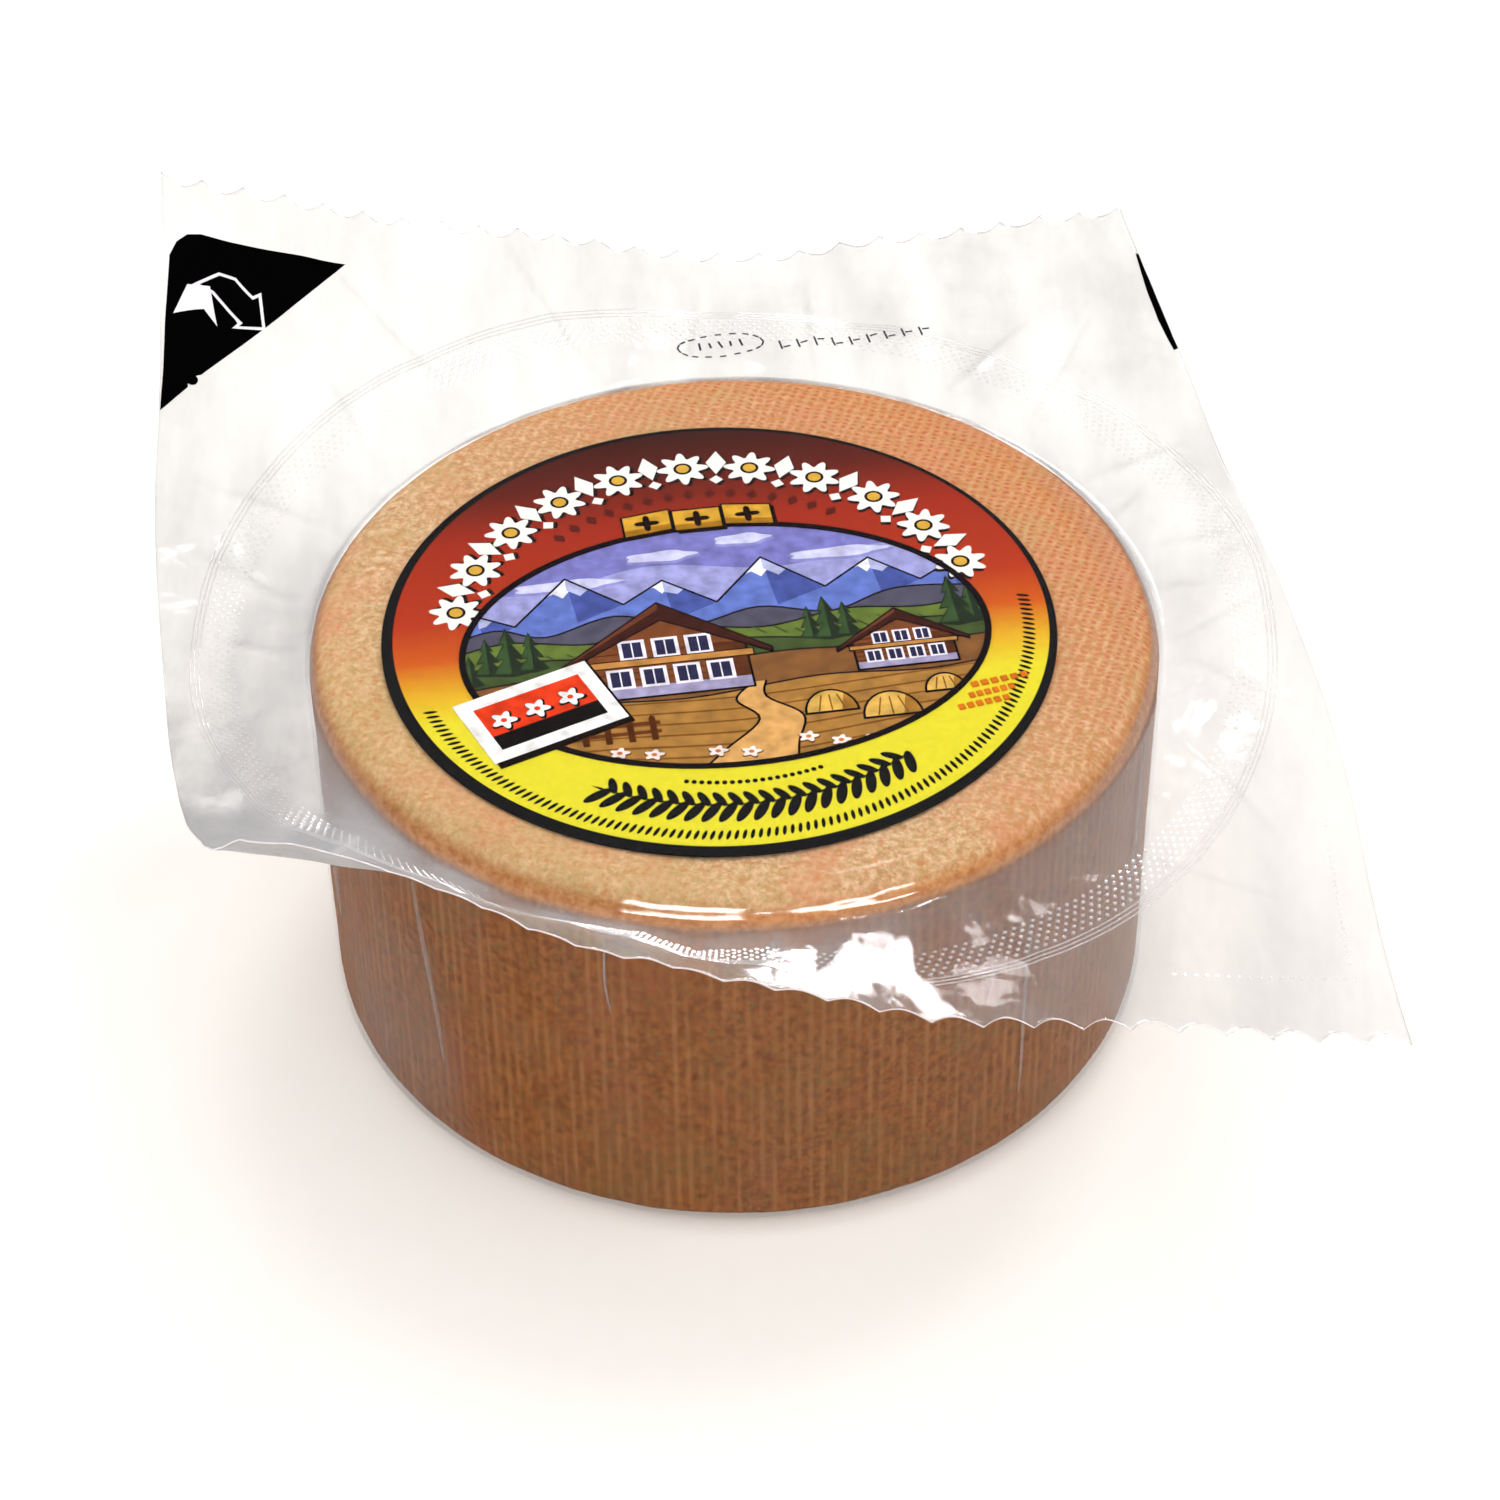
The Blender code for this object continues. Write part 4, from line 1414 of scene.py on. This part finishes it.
# Over the rim's back right the film lies wet on the rind, which dulls it: where, and how much
DULL_RIM = (30, 50, 9.0)
DULL_FROM = 0.0515
DULLS_IN = 0.002
direction, spread, amount = DULL_RIM
rim = smooth_step(flat_distance, DULL_FROM, DULL_FROM + DULLS_IN) * (1 - free)
clouding_and_dulling += amount * rim * sector(flat_turn, direction, spread)
point_attribute(lid, "clouding_and_dulling", clouding_and_dulling)


def thicken(piece, thickness, side, rim=0):
    """Gives a sheet its thickness, on one side (1 or -1), and its rim another material."""
    wall = piece.modifiers.new("Thickness", "SOLIDIFY")
    wall.thickness = thickness
    wall.offset = side
    wall.material_offset_rim = rim
    graph = bpy.context.evaluated_depsgraph_get()
    solid = bpy.data.meshes.new_from_object(piece.evaluated_get(graph))
    piece.modifiers.clear()
    piece.data = solid


NICK_SIZE = 0.002


# The film's cut edge: light that runs inside the sheet comes out there. Its pale colour paints
# that light in, as a highlight that shows as a bright line against anything dark.
def cut_film():
    material, add = new_material("cut_film")
    place = add("ShaderNodeTexCoord").outputs["Object"]
    nicks = add("ShaderNodeTexNoise", {"Vector": place, "Scale": 1 / NICK_SIZE, "Detail": 2})
    colour = layered(add, "#e8d6da", (nicks, "#fbf6f7"))
    film = add(
        "ShaderNodeBsdfPrincipled",
        {"Base Color": colour, "Roughness": 0.3, "Alpha": 0.85, "IOR": 1.5},
    )
    add("ShaderNodeOutputMaterial", {"Surface": film})
    return material


lid_web_film = clear_film("lid_web_film", (0.002, 0.07), (0.006, 0.03), (0.2, 0.75), 0.2)
lid.data.materials.append(lid_web_film)
lid.data.materials.append(cut_film())
thicken(lid, FILM, -1, rim=1)
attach(lid, "root")
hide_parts("lid_film")

# The seal
# The hot knurled tool that welded the lid to the pocket's flange left a ring of fine diamonds
# round the drum, and three narrow lines outside them.
KNURL_PITCH = 0.00145
KNURL_INNER = 0.0698
KNURL_ROWS = 6
KNURL_ROW_STEP = 0.00078
KNURL_HALF = (0.00034, 0.00038)
KNURL_HEIGHT = 0.00009
knurl_columns = round(2 * math.pi * KNURL_INNER / KNURL_PITCH)
knurl_places = []
for row in range(KNURL_ROWS):
    radius = KNURL_INNER + row * KNURL_ROW_STEP
    turns = (np.arange(knurl_columns) + row % 2 / 2) * 2 * math.pi / knurl_columns
    knurl_places.append(np.stack([radius * np.cos(turns), radius * np.sin(turns)], -1))
knurl_places = np.concatenate(knurl_places)
knurl_points, knurl_facing = film_surface(knurl_places[:, 0], knurl_places[:, 1])

sunk = -KNURL_HEIGHT / 2
half_out, half_along = KNURL_HALF
corners = ((half_out, 0), (0, half_along), (-half_out, 0), (0, -half_along))
diamond_points = [(0, 0, KNURL_HEIGHT), *[(x, y, sunk) for x, y in corners]]
diamond_faces = [(0, 1, 2), (0, 2, 3), (0, 3, 4), (0, 4, 1), (4, 3, 2, 1)]
diamond_mesh = bpy.data.meshes.new("seal_diamond")
diamond_mesh.from_pydata(diamond_points, [], diamond_faces)
diamond = bpy.data.objects.new("seal_diamond", diamond_mesh)


def marks_on_film():
    """The tree that sets one small mark on every point of the film, turned to face as it does."""
    tree, add, sizes = new_geometry_tree("marks_on_film", {"Mark": "Object", "Finish": "Material"})
    facing = add("GeometryNodeInputNamedAttribute", {"Name": "facing"}, data_type="FLOAT_VECTOR")
    outwards = add(
        "GeometryNodeInputNamedAttribute", {"Name": "outwards"}, data_type="FLOAT_VECTOR"
    )
    turned_out = add("FunctionNodeAlignRotationToVector", {"Vector": outwards}, axis="X")
    turn = add(
        "FunctionNodeAlignRotationToVector",
        {"Rotation": turned_out, "Vector": facing},
        axis="Z",
    )
    mark = add("GeometryNodeObjectInfo", {"Object": sizes["Mark"]})
    placed = add(
        "GeometryNodeInstanceOnPoints",
        {"Points": sizes["Mesh"], "Instance": mark.outputs["Geometry"], "Rotation": turn},
    )
    real = add("GeometryNodeRealizeInstances", {0: placed})
    finished = add("GeometryNodeSetMaterial", {0: real, "Material": sizes["Finish"]})
    add("NodeGroupOutput", {0: finished})
    return tree


film_mark_tree = marks_on_film()


def film_marks(name, mark, points, facing, finish):
    """A finished set of equal marks pressed into the film."""
    piece = mesh_object(name, points, [])
    for attribute_name, vectors in (("facing", facing), ("outwards", points * (1, 1, 0))):
        attribute = piece.data.attributes.new(attribute_name, "FLOAT_VECTOR", "POINT")
        attribute.data.foreach_set("vector", np.asarray(vectors, np.float32).ravel())
    grow(piece, film_mark_tree, {"Mark": mark, "Finish": finish})
    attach(piece, "root")
    return piece


pressed_film = clear_film("pressed_film", (0.1, 0.1), (0.1, 0.1), (0.2, 0.2), 0.0, 0.95)
film_marks("seal_knurls", diamond, knurl_points, knurl_facing, pressed_film)

LINE_COLUMNS = 400
LINE_RADII = (0.0745, 0.0751, 0.0757)
LINE_WIDTH = 0.00024
LINE_HEIGHT = 0.00008
line_turns = np.arange(LINE_COLUMNS) * 2 * math.pi / LINE_COLUMNS
line_section = (
    (-LINE_WIDTH / 2, -LINE_HEIGHT / 2),
    (LINE_WIDTH / 2, -LINE_HEIGHT / 2),
    (0, LINE_HEIGHT),
)
points = []
faces = []
for radius in LINE_RADII:
    inner = len(points)
    for offset, lift in line_section:
        x = (radius + offset) * np.cos(line_turns)
        y = (radius + offset) * np.sin(line_turns)
        points += film_surface(x, y, lift)[0].tolist()
    outer = inner + LINE_COLUMNS
    crest = outer + LINE_COLUMNS
    for i in range(LINE_COLUMNS):
        j = (i + 1) % LINE_COLUMNS
        faces.append((inner + i, inner + j, outer + j, outer + i))
        faces.append((outer + i, outer + j, crest + j, crest + i))
        faces.append((crest + i, crest + j, inner + j, inner + i))
seal_lines = mesh_object("seal_lines", points, faces)
seal_lines.data.materials.append(pressed_film)
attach(seal_lines, "root")

# The embossed guide by the front right corner
# Small domes that the packing machine's die pressed into the clear film: a row across the
# sheet, and a faint line of them that runs up beside its edge.
DOT_PITCH = 1.5
DOT_RADIUS = 0.0003
ROW_ALONG = -72.0
ROW_ENDS = (46.0, 72.0)
LINE_START = (72.6, -47.0)
LINE_STEP = (-0.05, -0.9)
LINE_DOTS = 26
guide = [(x, ROW_ALONG) for x in np.arange(*ROW_ENDS, DOT_PITCH)]
for i in range(LINE_DOTS):
    guide.append(tuple(start + step * i for start, step in zip(LINE_START, LINE_STEP)))
guide_places = np.array([on_sheet(*place) for place in guide])
guide_points, guide_facing = film_surface(guide_places[:, 0], guide_places[:, 1])
dome = bmesh.new()
bmesh.ops.create_icosphere(dome, subdivisions=1, radius=DOT_RADIUS)
pressed_dot = made_from(dome, "pressed_dot")
film_marks("guide_dots", pressed_dot, guide_points, guide_facing, pressed_film)

# The film's own print
# A black opening corner with a plain arrow, a register bar on the right edge, and behind the
# drum a stamped row of plain strokes. The ink lies on the sheet's upper face and bends with it.
INK_FILM = 0.00003
PATCH_STEP = 0.8
FIRST_PRINT, SECOND_PRINT, THIRD_PRINT, LAST_PRINT = (0.00002, 0.00007, 0.00012, 0.00017)


def print_on_film(name, outlines, lift, ink):
    """Prints closed outlines, in sheet millimetres, as one thin layer that follows the film."""
    layer = bmesh.new()
    for outline in outlines:
        layer.faces.new([layer.verts.new((x, y, 0)) for x, y in outline])
    bmesh.ops.recalc_face_normals(layer, faces=layer.faces[:])
    downward = [face for face in layer.faces if face.normal.z < 0]
    bmesh.ops.reverse_faces(layer, faces=downward)
    spots = [v.co.copy() for v in layer.verts]
    for axis, normal in ((0, (1, 0, 0)), (1, (0, 1, 0))):
        low = min(co[axis] for co in spots)
        high = max(co[axis] for co in spots)
        at = math.ceil(low / PATCH_STEP) * PATCH_STEP
        while at < high:
            everything = layer.verts[:] + layer.edges[:] + layer.faces[:]
            cut_at = [at * n for n in normal]
            bmesh.ops.bisect_plane(layer, geom=everything, plane_co=cut_at, plane_no=normal)
            at += PATCH_STEP
    flat = np.array([v.co[:2] for v in layer.verts])
    x, y = on_sheet(flat[:, 0], flat[:, 1])
    for vert, point in zip(layer.verts, film_surface(x, y, lift)[0]):
        vert.co = point
    piece = made_from(layer, name)
    bpy.context.scene.collection.objects.link(piece)
    thicken(piece, INK_FILM, 1)
    piece.data.materials.append(ink)
    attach(piece, "root")


film_black = offset_ink("film_black", "#040405", mottle=0.1)
film_white = offset_ink("film_white", "#f7f5f8", mottle=0.02)
stamp_grey = offset_ink("stamp_grey", "#3b3b40", mottle=0.3)
corner = [(-79.1, 49.6), (-75.2, 53.6)]
corner += [(-74.6 + 0.9 * math.cos(t), 54.9 + 0.9 * math.sin(t)) for t in np.linspace(-2.3, 0.9, 8)]
corner += [(-73.2, 55.9), (-50.3, 78.3), (-73.4, 78.7), (-75.6, 78.2), (-77.2, 76.8), (-78.2, 74.6)]
print_on_film("opening_corner", [corner], FIRST_PRINT, film_black)

# The arrow is a ribbon that turns over: a solid white tail, then a white-edged band that runs
# up and over into the head.
tail = [(-77.4, 65.6), (-75.4, 70.4), (-71.8, 70.8), (-70.6, 64.6), (-72.7, 67.0), (-74.2, 66.6)]
band = [(-74.6, 70.6), (-70.4, 73.4), (-67.6, 73.2), (-64.9, 70.8), (-63.6, 71.6)]
band += [(-63.0, 65.4), (-68.2, 64.9), (-67.2, 66.0), (-71.4, 69.8)]
ARROW_EDGE = 0.5


def inset(outline, width):
    """The same closed outline, drawn in by a width on every side."""
    drawn_in = []
    area = sum(a[0] * b[1] - b[0] * a[1] for a, b in zip(outline, outline[1:] + outline[:1]))
    inwards = 1 if area > 0 else -1
    for i, point in enumerate(outline):
        before = (Vector(point) - Vector(outline[i - 1])).normalized()
        after = (Vector(outline[(i + 1) % len(outline)]) - Vector(point)).normalized()
        in_before = Vector((-before.y, before.x)) * inwards
        in_after = Vector((-after.y, after.x)) * inwards
        corner_way = (in_before + in_after).normalized()
        reach = min(width / max(corner_way.dot(in_after), 0.35), width * 2.4)
        drawn_in.append(tuple(Vector(point) + corner_way * reach))
    return drawn_in


print_on_film("arrow_band", [band], SECOND_PRINT, film_white)
print_on_film("arrow_band_core", [inset(band, ARROW_EDGE)], THIRD_PRINT, film_black)
print_on_film("arrow_tail", [tail], LAST_PRINT, film_white)
bar = [(75.9, 49.9), (76.6, 50.2), (76.6, 75.2), (76.2, 75.5), (75.6, 66.0), (75.5, 58.0)]
print_on_film("register_bar", [bar], FIRST_PRINT, film_black)

# The stamp: a flat oval of short dashes, and a slanting row of small strokes in groups
STAMP_DASHES = 18
STAMP_CENTRE = (8.8, 67.4)
STAMP_HALF = (6.6, 2.6)
stamp = []
for i in range(STAMP_DASHES):
    turn = 2 * math.pi * (i + 0.5) / STAMP_DASHES
    across, up = STAMP_HALF[0] * math.cos(turn), STAMP_HALF[1] * math.sin(turn)
    ahead = (-STAMP_HALF[0] * math.sin(turn), STAMP_HALF[1] * math.cos(turn))
    lean = math.degrees(math.atan2(ahead[1], ahead[0]))
    stamp.append(box_of(STAMP_CENTRE[0] + across, STAMP_CENTRE[1] + up, 1.0, 0.28, lean))
for i in range(5):
    stamp.append(box_of(5.6 + 1.6 * i, 67.6, 0.34, 1.7 - 0.5 * (i % 2), 8 * (i % 3)))
for i in range(9):
    x, y = 18.0 + 2.7 * i, 66.2 - 0.2 * i
    stamp.append(box_of(x, y, 0.3, 2.0, 6))
    stamp.append(box_of(x + 0.9, y + 0.5 * (i % 3 - 1), 1.1, 0.3, 4))
print_on_film("stamped_strokes", stamp, FIRST_PRINT, stamp_grey)

# The floor and the light
# A pale seamless floor under a soft box above and behind the pack, in a bright room. Six panels
# that only the film's gloss shows make the glints on its edge, its front flange and its left.
FLOOR_PAINTED_GLOW = 0.18
FIBRE_SIZE = 0.00333
FLOOR_HALF = 3.0


# Seamless paper: matt and fibrous, its fibres drawn coarser than real ones. Its faint glow is
# painted light, which lifts the floor's shadows and lights the pack a little from below.
def white_backdrop():
    material, add = new_material("white_backdrop")
    place = add("ShaderNodeTexCoord").outputs["Object"]
    fibres = add("ShaderNodeTexNoise", {"Vector": place, "Scale": 1 / FIBRE_SIZE})
    paper = add(
        "ShaderNodeBsdfPrincipled",
        {
            "Base Color": layered(add, "#f5f2ec", (fibres, "#faf8f3")),
            "Roughness": 1.0,
            "Specular IOR Level": 0.0,
            "Emission Color": "#fdf8f0",
            "Emission Strength": FLOOR_PAINTED_GLOW,
        },
    )
    add("ShaderNodeOutputMaterial", {"Surface": paper})
    return material


signs = ((-1, -1), (1, -1), (1, 1), (-1, 1))
floor_corners = [(x * FLOOR_HALF, y * FLOOR_HALF, 0) for x, y in signs]
floor = mesh_object("floor", floor_corners, [(0, 1, 2, 3)])
floor.data.materials.append(white_backdrop())

LIGHT_DISTANCE = 2.2
LIT_PLACE = Vector((0, 0, 0.05))


def soft_panel(name, turn, rise, width, height, brightness, roll=0.0, lights=False, glints=True):
    """A flat lit panel that looks at the drum. Its direction, width and height are in degrees,
    as seen from there, and its brightness is what a mirror would show."""
    data = bpy.data.lights.new(name, "AREA")
    data.shape = "RECTANGLE"
    data.size = 2 * LIGHT_DISTANCE * math.tan(math.radians(width) / 2)
    data.size_y = 2 * LIGHT_DISTANCE * math.tan(math.radians(height) / 2)
    data.energy = math.pi * data.size * data.size_y * brightness
    lamp = bpy.data.objects.new(name, data)
    aim = Matrix.Rotation(math.radians(turn), 4, "Z") @ Matrix.Rotation(math.radians(-rise), 4, "Y")
    way = aim @ Vector((1, 0, 0))
    facing = way.to_track_quat("Z", "Y").to_matrix().to_4x4()
    stand = Matrix.Translation(LIT_PLACE + way * LIGHT_DISTANCE)
    lamp.matrix_world = stand @ facing @ Matrix.Rotation(math.radians(roll), 4, "Z")
    lamp.visible_diffuse = lights
    lamp.visible_glossy = glints
    bpy.context.scene.collection.objects.link(lamp)


soft_panel("soft_box", 68, 60, 12, 12, 14.0, lights=True, glints=False)
soft_panel("left_glint", -104, 38, 22, 12, 100.0)
soft_panel("right_glint", -65, 31, 34, 6, 130.0, roll=17)
soft_panel("front_glow", 74, 14, 11, 34, 16.0, roll=28)
soft_panel("front_glint", 73, 15, 6, 32, 45.0, roll=28)
soft_panel("side_glint", 67, 41, 5, 5, 20.0)
soft_panel("left_smear", 76, 59, 5, 3, 60.0)

ROOM_BRIGHTNESS = 1.02
world = bpy.data.worlds.new("studio")
world.use_nodes = True
room = world.node_tree.nodes["Background"]
room.inputs["Color"].default_value = linear("#fdfdfe")
room.inputs["Strength"].default_value = ROOM_BRIGHTNESS
bpy.context.scene.world = world
bpy.context.scene.view_settings.view_transform = "Standard"

# The camera
# It stands where the photograph was taken from, in front of the pack and looking down on it.
CAMERA_PLACE = (0, -0.4017, 0.3859)
LOOK_DOWN = math.radians(41.066)
LOOK_RIGHT = math.radians(0.296)
ROLL = math.radians(-0.676)
SENSOR_WIDTH = 36
LENS = 88.8
camera_data = bpy.data.cameras.new("camera")
camera_data.sensor_width = SENSOR_WIDTH
camera_data.lens = LENS
camera = bpy.data.objects.new("camera", camera_data)
aim = Matrix.Rotation(-LOOK_RIGHT, 4, "Z") @ Matrix.Rotation(math.pi / 2 - LOOK_DOWN, 4, "X")
camera.matrix_world = Matrix.Translation(CAMERA_PLACE) @ aim @ Matrix.Rotation(ROLL, 4, "Z")
bpy.context.scene.collection.objects.link(camera)
bpy.context.scene.camera = camera
